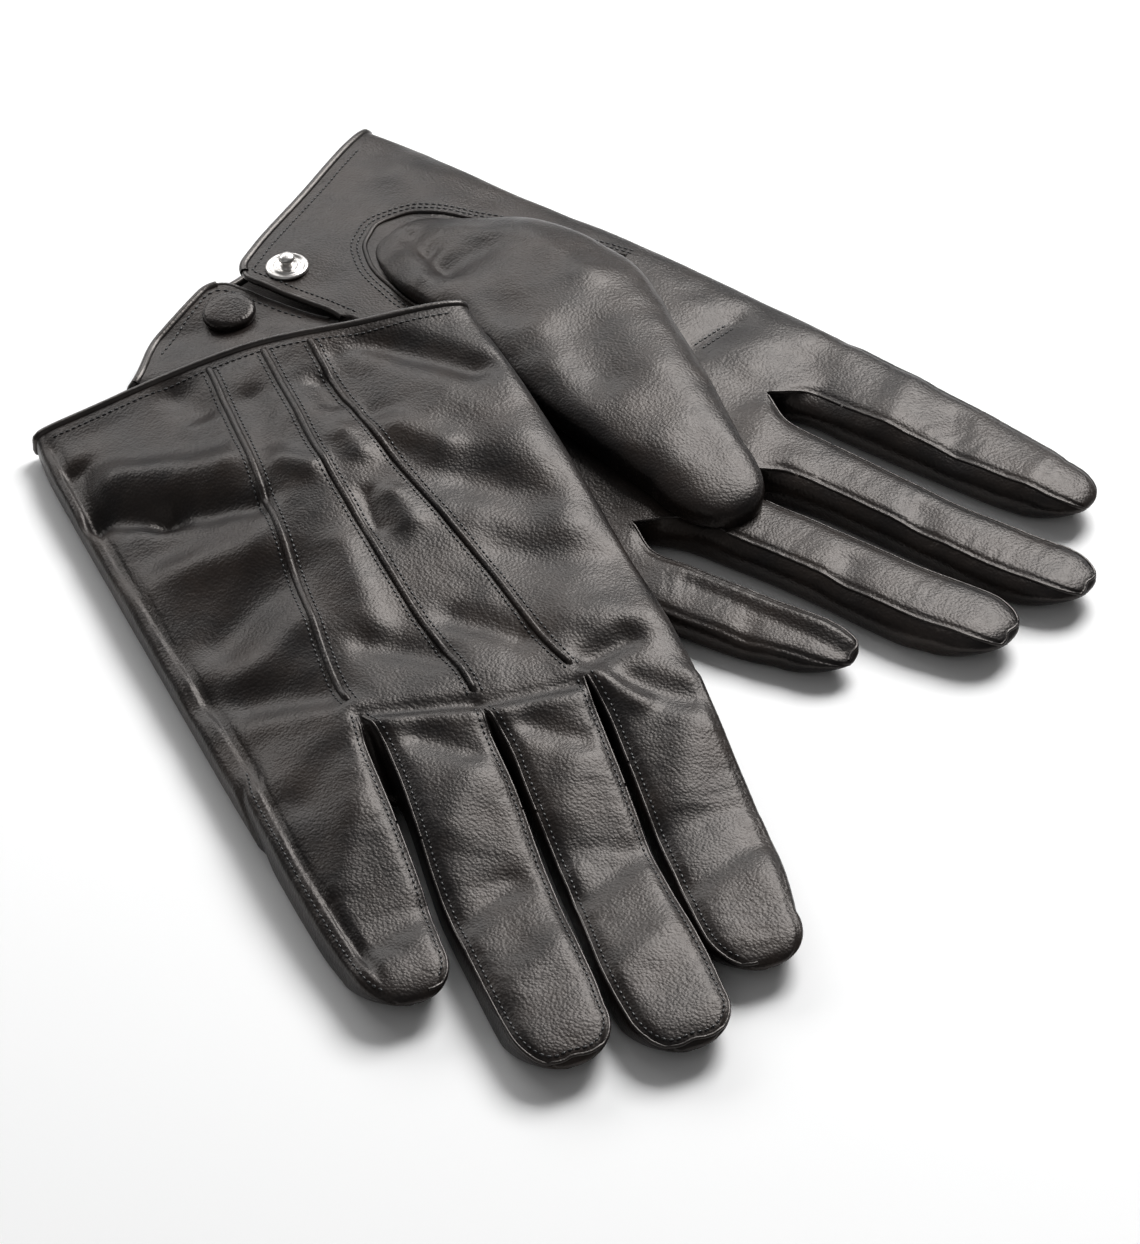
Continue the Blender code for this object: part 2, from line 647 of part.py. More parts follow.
def glove(side, root):
    hand_low = 0.5 * HAND[side]["thick"][0][1]
    body = hand_solid(side, 0.0, 0.0)
    stubs = [finger_solid(side, f, KNUCKLE, FINGERS[side][f]["fold"] - EDGE_GAP / 2, 0.0) for f in FINGER_ORDER]
    body = boolean(body, stubs, "UNION")
    hollow = hand_solid(side, LEATHER, -CUT_OVER)
    bores = [finger_solid(side, f, KNUCKLE - 8, FINGERS[side][f]["fold"] + CUT_OVER, LEATHER)
             for f in FINGER_ORDER]
    hollow = boolean(hollow, bores, "UNION")
    body = boolean(body, [hollow], "DIFFERENCE")

    roll = roll_solid(side, -ROLL_PROUD, -ROLL_LONG - EDGE_GAP, -EDGE_GAP)
    roll = boolean(roll, [roll_solid(side, LEATHER + ROLL_PROUD, -3 * CUT_OVER, CUT_OVER)], "DIFFERENCE")

    on_vent, on_cuff = flap_fold_ends(side)
    fold_ends = [laid(side, e.x, e.y, along(HAND[side]["thick"], e.y)) for e in (on_vent, on_cuff)]
    flap_at = (fold_ends[0] + fold_ends[1]) / 2
    flap_fold = empty(f"{side}_flap_fold", root, flap_at)
    flap = boolean(copy_of(body), [flap_region(side, 0.0, hand_low)], "INTERSECT")
    flap_roll = boolean(copy_of(roll), [flap_region(side, 0.0, hand_low)], "INTERSECT")
    body = boolean(body, [flap_region(side, EDGE_GAP, hand_low), vent_region(side, hand_low)], "DIFFERENCE")
    roll = boolean(roll, [flap_region(side, EDGE_GAP, hand_low), vent_region(side, hand_low)], "DIFFERENCE")
    finish(flap, "button_flap", side, "leather", flap_fold, flap_at)
    finish(flap_roll, "button_flap_edge", side, "edge_leather", flap_fold, flap_at)
    finish(roll, "cuff_edge", side, "edge_leather", root)

    u, v, radius = THUMB[side]["hole"]
    thick = along(HAND[side]["thick"], v)
    body = boolean(body, [disc("hole", radius, 0.6 * thick, 3 * CUT_OVER, (u, v))], "DIFFERENCE")

    for name in POINTS:
        if side == "left":
            groove = point_strip(name, POINT_WIDE + 4 * EDGE_GAP, GROOVE_DEEP, -CUT_OVER, EDGE_GAP)
            body = boolean(body, [groove], "DIFFERENCE")
            strip = point_strip(name, POINT_WIDE, POINT_SUNK, 0.0, 0.0)
        else:
            strip = point_strip(name, POINT_WIDE, -STACK_GAP, -STACK_GAP - POINT_TALL, 0.0)
        finish(strip, f"point_{name}_side", side, "leather", root)

    gap_in = LEATHER + STACK_GAP
    sleeve_rings = []
    for station in (LINING_START, 16.0, LINING_START + LINING_LONG):
        sleeve_rings.append(hand_ring(side, station, gap_in, gap_in, gap_in))
    sleeve = loft("lining", sleeve_rings)
    bore_rings = []
    bore_in = gap_in + LINING_THICK
    for station in (LINING_START, 16.0, LINING_START + LINING_LONG):
        bore_rings.append(hand_ring(side, station, bore_in, bore_in, bore_in))
    bore_rings[0] = [(u, v - CUT_OVER, h) for u, v, h in bore_rings[0]]
    bore_rings[-1] = [(u, v + CUT_OVER, h) for u, v, h in bore_rings[-1]]
    sleeve = boolean(sleeve, [loft("bore", bore_rings)], "DIFFERENCE")
    clear = prism("clear", ((STUD_U - 6, -20), (on_cuff.x + 2, -20), (on_cuff.x + 2, 80),
                            (STUD_U - 6, 80)), hand_low, 4 * CUT_OVER)
    sleeve = boolean(sleeve, [clear], "DIFFERENCE")
    finish(sleeve, "lining", side, "lining", root)

    finish(body, "hand", side, "leather", root)
    for finger in FINGER_ORDER:
        finger_pieces(side, finger, root)
    thumb_pieces(side, root)
    snap_pieces(side, root, flap_fold, flap_at)


def main():
    clear_scene()
    pair = empty("leather_gloves")
    for side, place, turn in (("left", LEFT_AT, LEFT_TURN), ("right", RIGHT_AT, RIGHT_TURN)):
        root = empty(f"{side}_glove", pair)
        glove(side, root)
        # A glove's fingers point along its +v; +v laid towards -Y keeps u to the left of it.
        root.location = (place[0] * MM, place[1] * MM, 0.0)
        root.rotation_euler = (0.0, 0.0, math.radians(180 + turn))


main()
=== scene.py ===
import math

import bmesh
import bpy
import numpy as np
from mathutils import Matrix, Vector, noise
from mathutils.bvhtree import BVHTree


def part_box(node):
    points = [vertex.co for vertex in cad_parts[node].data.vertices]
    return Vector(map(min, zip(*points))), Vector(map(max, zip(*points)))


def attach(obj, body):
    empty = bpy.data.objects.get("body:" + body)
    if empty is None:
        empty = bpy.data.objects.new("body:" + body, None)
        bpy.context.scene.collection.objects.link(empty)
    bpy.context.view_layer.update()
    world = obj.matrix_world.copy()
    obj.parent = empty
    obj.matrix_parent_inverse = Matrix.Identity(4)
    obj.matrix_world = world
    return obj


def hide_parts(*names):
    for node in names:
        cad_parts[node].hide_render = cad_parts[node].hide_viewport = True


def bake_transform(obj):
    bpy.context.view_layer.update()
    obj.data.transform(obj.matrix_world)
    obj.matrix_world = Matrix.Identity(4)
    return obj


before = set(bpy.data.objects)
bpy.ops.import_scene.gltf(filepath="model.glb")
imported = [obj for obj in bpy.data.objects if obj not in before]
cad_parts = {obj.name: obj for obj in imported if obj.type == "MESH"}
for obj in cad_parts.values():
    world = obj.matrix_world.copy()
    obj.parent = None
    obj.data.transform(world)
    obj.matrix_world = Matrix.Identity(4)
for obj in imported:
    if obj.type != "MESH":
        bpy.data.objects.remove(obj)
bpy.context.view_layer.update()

# A pair of black leather dress gloves. Every glove is made in its own flat frame in millimetres:
# u from the index side to the little finger, v from the cuff to the fingertips, z up. It is then
# turned to where it lies. The left glove lies palm up, the right one back up across its wrist.
mm = 0.001
fingerNames = ("index", "middle", "ring", "little")


def smoothLine(table, x):
    # a soft curve through the (x, y) pairs of a table
    xs = np.array([p[0] for p in table], float)
    ys = np.array([p[1] for p in table], float)
    slopes = np.gradient(ys, xs)
    x = np.clip(np.asarray(x, float), xs[0], xs[-1])
    k = np.clip(np.searchsorted(xs, x) - 1, 0, len(xs) - 2)
    span = xs[k + 1] - xs[k]
    s = (x - xs[k]) / span
    return ((2 * s**3 - 3 * s**2 + 1) * ys[k] + (s**3 - 2 * s**2 + s) * span * slopes[k]
            + (3 * s**2 - 2 * s**3) * ys[k + 1] + (s**3 - s**2) * span * slopes[k + 1])


def ease(x):
    x = np.clip(x, 0, 1)
    return x * x * (3 - 2 * x)


def softRamp(x, soft):
    # 0 below 0, x above, round in between
    return np.where(x <= -soft, 0, np.where(x >= soft, x, (x + soft) ** 2 / (4 * soft)))


leftGlove = {
    "side": "left", "body": "left_hand", "palmUp": True,
    "at": (21.55, 140.5), "turn": 195.7,
    "cuff": ((-62, -1.6), (-56, -1.0), (-20, 5.2), (0, 8.2), (13, 10.8), (25, 11.4), (40, 12.2),
             (66, 14.5)),
    "lowCuff": ((-62, -1.6), (-56, -1.0), (-20, 4.6), (6, 5.4), (13, 4.4), (22, 4.4), (28, 5.4), (42, 9.6),
                (66, 14.5)),
    "index": ((-10, -58.4), (15, -58.0), (30, -56.8), (58, -55.2), (87, -54.8), (101, -54.2), (129, -52.4),
              (143, -51.2), (157, -50.4), (171, -49.0)),
    "little": ((-6, 61), (30, 60.5), (70, 60), (110, 60.5), (150, 61), (180, 60.6)),
    "thick": ((0, 11.6), (40, 13), (110, 12.4), (155, 10.6), (200, 9.6), (250, 8.6)),
    "topLines": (((0, -24), (40, -23), (100, -21), (146, -19.6)),
                 ((0, 15.6), (45, 15.8), (100, 13), (157.5, 9.4)),
                 ((0, 36), (40, 37), (100, 38), (146, 38.4))),
    "topForks": (146, 157.5, 146),
    "lowLines": (((0, -13), (60, -16), (134, -19.4)),
                 ((0, 0), (60, 2), (138, 9)),
                 ((0, 13), (60, 20), (134, 38))),
    "lowForks": (134, 138, 134),
    # each finger: (v, index side edge, little side edge), then its tip
    "fingers": {
        "index": (((146, -51.8, -19.8), (154, -51.0, -22.4), (166, -49.8, -22.0), (185, -47.6, -21.4),
                   (199, -45.6, -21.2), (213, -42.8, -21.4), (221, -40.6, -22.0)), (-30.6, 232.0)),
        "middle": (((146, -19.4, 9.2), (156, -15.2, 9.2), (164, -14.4, 7.6), (176, -13.8, 6.2),
                    (190, -12.8, 6.4), (207, -11.6, 7.2), (224, -12.2, 8.0), (235, -13.0, 7.4)),
                    (-3.4, 247.4)),
        "ring": (((146, 9.6, 38.2), (157, 12.0, 34.4), (170, 13.0, 33.6), (183, 12.8, 33.4),
                  (195, 12.8, 33.8), (209, 13.0, 34.8), (220, 12.2, 35.0), (229, 11.8, 33.6)),
                  (22.4, 241.6)),
        "little": (((146, 38.6, 61.0), (154, 42.0, 61.0), (164, 42.8, 60.8), (180, 43.0, 60.4),
                    (193, 42.4, 59.2), (203, 41.4, 57.0)),
                   (48.0, 215.2)),
    },
    "folds": {"index": 176, "middle": 182, "ring": 180, "little": 174},
    "seamShare": 0.87, "fingerPower": 3.0,
}
rightGlove = {
    "side": "right", "body": "right_hand", "palmUp": False,
    "at": (-14.55, 85.5), "turn": 164.4,
    "cuff": ((-54, 9.1), (-46, 7.8), (-21, 3.6), (-0.5, -2.9), (29, -7.6), (58, -8.8)),
    "lowCuff": ((-54, 9.1), (-46, 7.8), (-21, 3.6), (-0.5, -2.9), (29, -7.6), (58, -8.8)),
    "index": ((-10, -52.0), (6, -52.3), (27, -53.1), (96, -52.6), (125, -51.6), (141, -50.6), (165, -47.8)),
    "little": ((-10, 53.0), (4, 54.6), (22, 55.2), (60, 56.0), (100, 56.6), (140, 57.2), (168, 57.2),
               (200, 54.4)),
    "thick": ((0, 9.6), (40, 10.8), (110, 10.8), (130, 10.6), (174, 10.6), (215, 9.4), (250, 8.2)),
    "topLines": (((4, -13.2), (27, -12.6), (43, -13.5), (63, -15.3), (93, -19.3), (133, -23.6),
                  (137.6, -24.8)),
                 ((0, -2.6), (25, -0.6), (42, 0.9), (64, 1.3), (104, 1.2), (133, -0.4), (137.5, 0.1)),
                 ((0, 10.6), (30, 14.3), (53, 17.4), (68, 19.3), (94, 23.1), (124, 26.2), (128.6, 25.9))),
    "topForks": (137.6, 137.5, 128.6),
    "lowLines": (((0, -24), (60, -20), (150, -24)),
                 ((0, 15.6), (60, 15.6), (155, 1)),
                 ((0, 34), (60, 36), (148, 27))),
    "lowForks": (150, 155, 148),
    "fingers": {
        "index": (((137, -51.0, -24.9), (145, -50.2, -25.2), (165, -47.8, -23.2), (183, -45.8, -20.8),
                   (201, -43.2, -18.6), (214, -40.0, -17.2), (222, -37.4, -17.0)), (-27.6, 230.2)),
        "middle": (((137, -24.7, 0.1), (145, -24.0, -0.8), (165, -21.6, 0.9), (193, -17.8, 3.9),
                    (221, -16.2, 7.9), (239, -13.8, 8.2)), (-2.4, 245.4)),
        "ring": (((128, 0.2, 25.8), (137, 0.3, 24.4), (145, 0.9, 24.9), (163, 2.3, 27.2), (179, 4.4, 29.6),
                  (204, 7.6, 31.8), (220, 9.3, 32.7), (233, 11.6, 33.0)), (22.6, 239.8)),
        "little": (((128, 26.0, 56.0), (137, 27.4, 56.4), (154, 29.2, 57.0), (180, 32.0, 57.0),
                    (202, 35.4, 55.6)), (45.4, 209.8)),
    },
    "folds": {"index": 176, "middle": 182, "ring": 180, "little": 174},
    "seamShare": 0.6, "fingerPower": 4.6,
}
drape = {  # how far the right glove's underside stands over the table, where it lies on the left one
    "from": ((0, 44), (60, 44), (100, 46), (150, 54), (200, 60)),
    "to": ((0, -10), (60, 15), (100, 22), (150, 38), (200, 46)),
    "rise": ((0, 15), (60, 12), (100, 8.6), (150, 6.2), (176, 1.5), (184, 0)),
    "indexRise": ((0, 4.8), (60, 2.8), (100, 1.4), (150, 0), (200, 0)),
    "soft": 13, "indexFrom": -10, "indexWide": 42,
}
pressed = {"from": 14, "to": 60, "keep": 0.64, "start": 150, "end": 182}  # the left glove under it
slimLittle = {"share": 0.2, "fromV": 160, "longV": 14, "fromU": 44, "wideU": 6}  # the left little finger
grid = {"columns": 27, "wall": 6, "handRows": 122, "fingerRows": 74, "tipRows": 16,
        "tipLong": 13.5, "tipTurn": 87, "tipNarrow": 0.95, "tipFlat": 0.9, "tipPoint": 0.35,
        "handPower": 4.2, "edgeShare": 0.6, "blendLong": 9.0, "beforeFold": 13}
pinch = {"deep": 0.3, "inset": 1.5, "wide": 0.6}  # the groove that a stitch row pulls into a finger
tuck = {"height": 0.78, "lean": 1.35, "long": 34,
        "soft": 1.5}  # a fingertip's underside curls up to its seam
leather = {"thick": 1.1, "ventWide": 1.8, "ventLong": 36, "ventAt": 15.7, "ventTaper": 7, "ventSoft": 2.5,
           "ventSide": 40}
flapTag = 9  # the piece number of the button flap, after 0 for the hand and 1 to 4 for the fingers


def floorHeight(g, u, v):
    # height of a glove's underside
    if g["palmUp"]:
        return np.zeros_like(u)
    start = smoothLine(drape["from"], v)
    stop = smoothLine(drape["to"], v)
    rise = (softRamp(start - u, drape["soft"]) - softRamp(stop - u, drape["soft"])) / (start - stop)
    edge = softRamp(drape["indexFrom"] - u, drape["soft"]) / drape["indexWide"]
    return smoothLine(drape["rise"], v) * rise + smoothLine(drape["indexRise"], v) * edge


def thickness(g, u, v):
    thick = smoothLine(g["thick"], v)
    if g["palmUp"]:
        share = ease((u - pressed["from"]) / (pressed["to"] - pressed["from"]))
        fade = ease((pressed["end"] - v) / (pressed["end"] - pressed["start"]))
        thick = thick * (1 - (1 - pressed["keep"]) * share * fade)
        alongLittle = ease((v - slimLittle["fromV"]) / slimLittle["longV"])
        acrossLittle = ease((u - slimLittle["fromU"]) / slimLittle["wideU"])
        thick = thick * (1 - slimLittle["share"] * alongLittle * acrossLittle)
    return thick


def roundSide(x, power):
    # how high a flat section with round sides stands, x from its middle (0) to its side (1)
    return (1 - np.abs(x) ** power) ** (1 / power)


def weld(points, faces):
    _, first, index = np.unique(np.round(points, 4), axis=0, return_index=True, return_inverse=True)
    return points[first], index.reshape(-1)[faces]


def ringSlots():
    # the slots round one finger: t across it, k from the top sheet (0) to the lower one (1), which side
    nc, nw = grid["columns"], grid["wall"]
    line = np.linspace(0, 1, nc)
    t = 0.5 * line + 0.5 * (0.5 - 0.5 * np.cos(np.pi * line))
    inside = np.arange(1, nw + 1) / (nw + 1)
    ts = np.concatenate([t, np.ones(nw), t[::-1], np.zeros(nw)])
    ks = np.concatenate([np.zeros(nc), inside, np.ones(nc), inside[::-1]])
    sides = np.repeat([0, 1, 2, 3], [nc, nw, nc, nw])
    return ts, ks, sides


def sheetLines(g, f, level, v):
    # the two lines that bound a finger's share of the hand
    lines = [g["index"]] + list(g[level + "Lines"]) + [g["little"]]
    return smoothLine(lines[f], v), smoothLine(lines[f + 1], v)


def openVent(g, f, u, v):
    # the two edges of the slit in the palm stand apart
    if f not in (1, 2):
        return 0 * u
    long = smoothLine(g["cuff"], u) + leather["ventLong"] - v
    away = np.abs(u - leather["ventAt"])
    push = leather["ventWide"] / 2 * ease(long / leather["ventTaper"]) * np.exp(-away / leather["ventSoft"])
    return push * (u < leather["ventSide"]) * (1 if f == 2 else -1)


def sheetRows(g, f, level, ts):
    # one finger's share of a sheet, row by row from the cuff to the fingertip: u, v, how far each point
    # is past the fork, and how much the section has shrunk there
    table, tip = g["fingers"][fingerNames[f]]
    vEnd = tip[1] - grid["tipLong"]
    forks = g[level + "Forks"]
    forkLeft, forkRight = forks[max(f - 1, 0)], forks[min(f, 2)]
    fork = forkLeft + (forkRight - forkLeft) * ts
    share = np.arange(grid["handRows"] + 1)[:, None] / grid["handRows"]
    v = 3 + (fork - 3) * share
    for _ in range(3):  # the cuff's line shifts the rows, so they settle in a few rounds
        left, right = sheetLines(g, f, level, v)
        half = (smoothLine(g["little"], v) - smoothLine(g["index"], v)) / 2
        inset = (1 - roundSide(grid["edgeShare"], grid["handPower"])) * half
        left = left + (inset if f == 0 else 0)
        right = right - (inset if f == 3 else 0)
        u = left + (right - left) * ts
        start = smoothLine(g["cuff" if level == "top" else "lowCuff"], u)
        v = start + (fork - start) * share
    rows = [(u, v, np.zeros_like(u), np.ones_like(u))]
    indexEdge = [(p[0], p[1]) for p in table]
    littleEdge = [(p[0], p[2]) for p in table]
    v = fork + (vEnd - fork) * (np.arange(1, grid["fingerRows"] + 1)[:, None] / grid["fingerRows"])
    past = v - fork
    left = smoothLine(indexEdge, v)
    right = smoothLine(littleEdge, v)
    start = inset[-1:] * (1 - ease(past / grid["blendLong"]))  # the hand's round side runs on into the finger
    left = left + (start if f == 0 else 0)
    right = right - (start if f == 3 else 0)
    rows.append((left + (right - left) * ts, v, past, np.ones_like(v)))
    theta = (np.arange(1, grid["tipRows"] + 1)[:, None] / grid["tipRows"]) * math.radians(grid["tipTurn"])
    v = vEnd + grid["tipLong"] * np.sin(theta) + 0 * ts
    left = smoothLine(indexEdge, vEnd) + 0 * v
    right = smoothLine(littleEdge, vEnd) + 0 * v
    middle = (left + right) / 2
    middle = middle + (tip[0] - middle) * np.sin(theta) ** 2
    half = (right - left) / 2
    rows.append((middle + half * (2 * ts - 1), v, 99 + 0 * v, np.cos(theta) + 0 * v))
    return [np.concatenate([row[i] for row in rows]) for i in range(4)]


def shareOfGlove(g, f, slots):
    # one finger with its share of the hand, as rings of points, and the v of each point of its top sheet
    ts, ks, sides = slots
    edge = grid["edgeShare"]
    uT, vT, past, shrink = sheetRows(g, f, "top", ts)
    uB, vB, _, _ = sheetRows(g, f, "low", ts)
    k = ks[None, :] + 0 * uT
    v = vT + (vB - vT) * k
    isWall = (sides == 1) | (sides == 3)
    # in the hand: a broad flat section with round sides
    power = grid["handPower"]
    left = smoothLine(g["index"], v)
    right = smoothLine(g["little"], v)
    middle, half = (left + right) / 2, (right - left) / 2
    opened = openVent(g, f, uT, vT) if g["palmUp"] else 0 * uT
    openedLow = 0 * uT if g["palmUp"] else openVent(g, f, uB, vB)
    uLine = uT + opened * (k == 0) + (uB + openedLow - uT) * k
    outer = ((sides == 1) & (f == 3)) | ((sides == 3) & (f == 0))
    wallShare = edge * (1 - 2 * k)
    uHand = np.where(outer, middle + np.where(f == 3, 1, -1) * half * roundSide(wallShare, power), uLine)
    flatShare = roundSide(np.clip(np.abs((uLine - middle) / half), 0, 1), power) * (1 - 2 * k)
    handShare = np.where(outer, wallShare, flatShare)
    # in the finger: a round section of its own, whose seam lies high on the side
    power = g["fingerPower"]
    last = grid["columns"] - 1
    middle = ((uT[:, :1] + uT[:, last:last + 1]) / 2) * (1 - k) + ((uB[:, :1] + uB[:,
                                                                                   last:last + 1]) / 2) * k
    half = ((uT[:, last:last + 1] - uT[:, :1]) / 2) * (1 - k) + ((uB[:, last:last + 1] - uB[:, :1]) / 2) * k
    seam = g["seamShare"] if f < 3 else edge
    keep, keepSeam = roundSide(edge, power), roundSide(seam, power)
    xFlat = np.where(ks > 0.5, (2 * ts - 1) * keep, -keep + ts * (keep + keepSeam))
    seamShare = np.where(sides == 1, seam - (seam + edge) * k, wallShare)
    fingerShare = np.where(isWall, seamShare, roundSide(xFlat, power) * np.where(ks > 0.5, -1, 1))
    xFinger = np.where(isWall, roundSide(seamShare, power) * np.where(sides == 1, 1, -1), xFlat)
    uFinger = middle + half * xFinger * shrink ** grid["tipNarrow"]
    # from one into the other, then up to the leather's height
    blend = np.where(past > 50, 1, ease(past / grid["blendLong"]))
    u = uHand + (uFinger - uHand) * blend
    share = handShare + (fingerShare * shrink ** grid["tipFlat"] - handShare) * blend
    low = floorHeight(g, u, v)
    thick = thickness(g, u, v)
    z = low + thick * (0.5 + 0.5 * share)
    z = np.where(share < 0, low + thick * 0.5 * (1 - np.abs(share) ** 0.8), z)
    inward = np.minimum(ts, 1 - ts) * (uT[:, last:last + 1] - uT[:, :1])
    z = z - pinch["deep"] * np.exp(-((inward - pinch["inset"]) / pinch["wide"]) ** 2) * blend * (sides == 0)
    under = softRamp(tuck["height"] * thick - z + low, tuck["soft"])
    tip = g["fingers"][fingerNames[f]][1]
    v = v - tuck["lean"] * under * ease((v - tip[1] + tuck["long"]) / tuck["long"])
    return np.stack([u, v, z], axis=2), vT


def buildGlove(g):
    # all four shares as points and faces; a face's tag is its piece, its kind (0 top, 1 low, 2 and 3 the
    # walls), its finger and its row
    slots = ringSlots()
    sides = slots[2]
    ring, handRows = len(sides), grid["handRows"]
    points, faces, tags, rings = [], [], [], {}
    base = 0
    for f, name in enumerate(fingerNames):
        share, vTop = shareOfGlove(g, f, slots)
        rows = len(share)
        rings[name] = share
        fromSplit = vTop[handRows:, grid["columns"] // 2] - (g["folds"][name] - grid["beforeFold"])
        split = handRows + int(np.argmin(np.abs(fromSplit)))
        for r in range(rows - 1):
            for j in range(ring):
                j2 = (j + 1) % ring
                isWall = sides[j] in (1, 3) or sides[j2] in (1, 3)
                right = sides[j] == 1 or (sides[j] == 0 and sides[j2] == 1)
                if r < handRows and isWall and not ((right and f == 3) or (not right and f == 0)):
                    continue
                low, high = base + r * ring, base + (r + 1) * ring
                faces.append((low + j, low + j2, high + j2, high + j))
                kind = (2 if right else 3) if isWall else (0 if sides[j] == 0 else 1)
                tags.append((0 if r < split else f + 1, kind, f, r))
        points += [share.reshape(-1, 3), (share[-1].mean(axis=0) + np.array([0, grid["tipPoint"], 0]))[None,
                                                                                                       :]]
        last, tip = base + (rows - 1) * ring, base + rows * ring
        for j in range(ring):
            faces.append((last + j, last + (j + 1) % ring, tip, tip))
            tags.append((f + 1, 0 if sides[j] == 0 else 1, f, rows))
        base += rows * ring + 1
    return {"points": np.concatenate(points), "faces": np.array(faces), "tags": np.array(tags),
            "rings": rings}


def strokes(u, v, marks):
    # soft dents and ridges: each one runs from (u, v) to (u, v), so wide and so high
    height = np.zeros_like(u)
    for u0, v0, u1, v1, wide, high in marks:
        du, dv = u1 - u0, v1 - v0
        long = du * du + dv * dv + 1e-6
        s = np.clip(((u - u0) * du + (v - v0) * dv) / long, 0, 1)
        far = (u - u0 - s * du) ** 2 + (v - v0 - s * dv) ** 2
        height += high * np.exp(-far / wide**2)
    return height


def softNoise(points, scale, seed, stretch=(1, 1)):
    place = Vector((seed * 7.31, seed * 3.17, seed * 1.7))
    su, sv = scale * stretch[0], scale * stretch[1]
    return np.array([noise.noise(Vector((p[0] / su, p[1] / sv, p[2] / scale)) + place) for p in points])


def wavyCreases(points, tilt, pitch, seed):
    # fine creases side by side, broken up and bent by noise
    bend = softNoise(points, 14, seed) * 2.2
    turn = math.radians(tilt)
    along = points[:, 0] * math.sin(turn) + points[:, 1] * math.cos(turn)
    wave = np.sin(2 * math.pi * along / pitch + bend * 2.4)
    return -np.clip(wave - 0.35, 0, 1) * np.clip(softNoise(points, 11, seed + 3) * 2.2, 0, 1)


rightRelief = {
    "deep": 1.5,
    "marks": (
        (48.9, 11, 51, 29.9, 3.2, -1.5), (50, 30, 36.7, 40, 4, -1.8), (36.7, 40, 19.6, 52.7, 4, -1.6),
        (43.3, 20.3, 22.6, 34.7, 6, 1.9), (42.4, 60.3, 26.8, 65.8, 6, 1.3), (24, 78, 42, 86, 7, -0.9),
        (28, 96, 40, 100, 6, 0.6), (50.7, 102, 30.4, 118.8, 6, -1.1), (10, 43.8, 5.2, 49.3, 4, 0.9),
        (20, -3.7, 17.6, 11.4, 4, -1.0), (-7.2, 41.5, -8.3, 48.7, 4, 0.9), (-9.7, 20, -9.7, 28, 4, -1.1),
        (-9.2, 66, -9.2, 76, 4, 0.8), (-3.3, 63.1, -1.8, 73.9, 2.6, -0.7),
        (-24.6, 9.4, -44.1, 32.4, 5, -1.6), (-19.8, 45.5, -26, 55, 5, 1.1), (-28, 68, -40, 78, 7, -1.0),
        (6, 16, 9, 34, 4, -0.9), (8, 76, 12, 104, 4.5, 0.6), (-17, 12, -16, 36, 4, -0.7),
        (-44, 60, -42, 90, 8, 0.8), (-26, 92, -46, 104, 7, -0.8), (-30, 118, -46, 124, 7, 0.7),
        (26, 129.5, 2, 135.5, 2.2, -0.7), (0, 137.2, -22, 139.4, 2.2, -0.6),
        (24, 133.5, 4, 139.5, 3.2, 0.6), (-2, 141, -22, 143.6, 3.2, 0.5), (28, 126, 46, 118, 4.5, 0.5),
        (16, 141, 8, 149, 4.0, -0.7), (-8, 147, -16, 155, 4.0, -0.6), (35, 138, 46, 146, 5, -0.6),
        (-29, 132.5, -39, 130, 3.6, -1.2), (-27.5, 139, -33, 150, 3.0, 0.8), (-35, 143, -44, 152, 4, -0.7),
        (10, 156, 20, 168, 5, 0.5), (-13, 160, -4, 172, 5, 0.5), (-41, 160, -31, 178, 6, 0.6),
        (38, 154, 48, 172, 5, 0.5), (14, 186, 28, 192, 4, -0.6), (-14, 188, 2, 195, 4, -0.6),
        (-42, 194, -22, 201, 4, -0.5), (34, 186, 52, 192, 4, -0.5), (15, 108, 3, 118, 4.5, -0.8),
        (-6, 108, -17, 120, 4.5, -0.8), (10, 206, 26, 214, 5, 0.4), (-10, 212, 4, 220, 5, 0.4),
    ),
    "waves": ((26, 0.8), (12, 0.42), (5.5, 0.13)),
    "creases": ((12, 5.2, 0.22), (-14, 3.4, 0.15)),
    "sideSeam": ((-10, 50.6), (0, 51.0), (22.2, 51.5), (57.7, 52.3), (85.2, 51.7), (118, 51.2), (168, 52.8),
                 (205, 50.8)),
    "seamDeep": 1.5, "seamWide": 0.9, "seamTop": 204,
}
leftRelief = {
    "deep": 1.3,
    "marks": (
        (-44, 20, -34, 34, 9, 0.8), (-20, 12, -4, 20, 8, 0.6), (-30, 132, -44, 140, 8, 0.6),
        (-22, 122, -38, 124, 5, -0.9), (-36, 150, -24, 160, 6, -0.6), (-10, 150, 8, 156, 6, 0.6),
        (0, 166, 8, 176, 5, 0.5), (28, 160, 38, 166, 5, 0.6), (-38, 188, -24, 196, 4, -0.5),
        (-2, 200, 8, 206, 4, -0.5), (24, 196, 36, 202, 4, -0.5), (54, 188, 62, 192, 3, -0.4),
        (-44, 172, -26, 176, 5, 0.5), (-42, 214, -20, 216, 4, 0.4),
    ),
    "waves": ((24, 0.7), (11, 0.34), (5.5, 0.11)),
    "creases": ((10, 4.6, 0.24), (-16, 3.4, 0.16)),
}


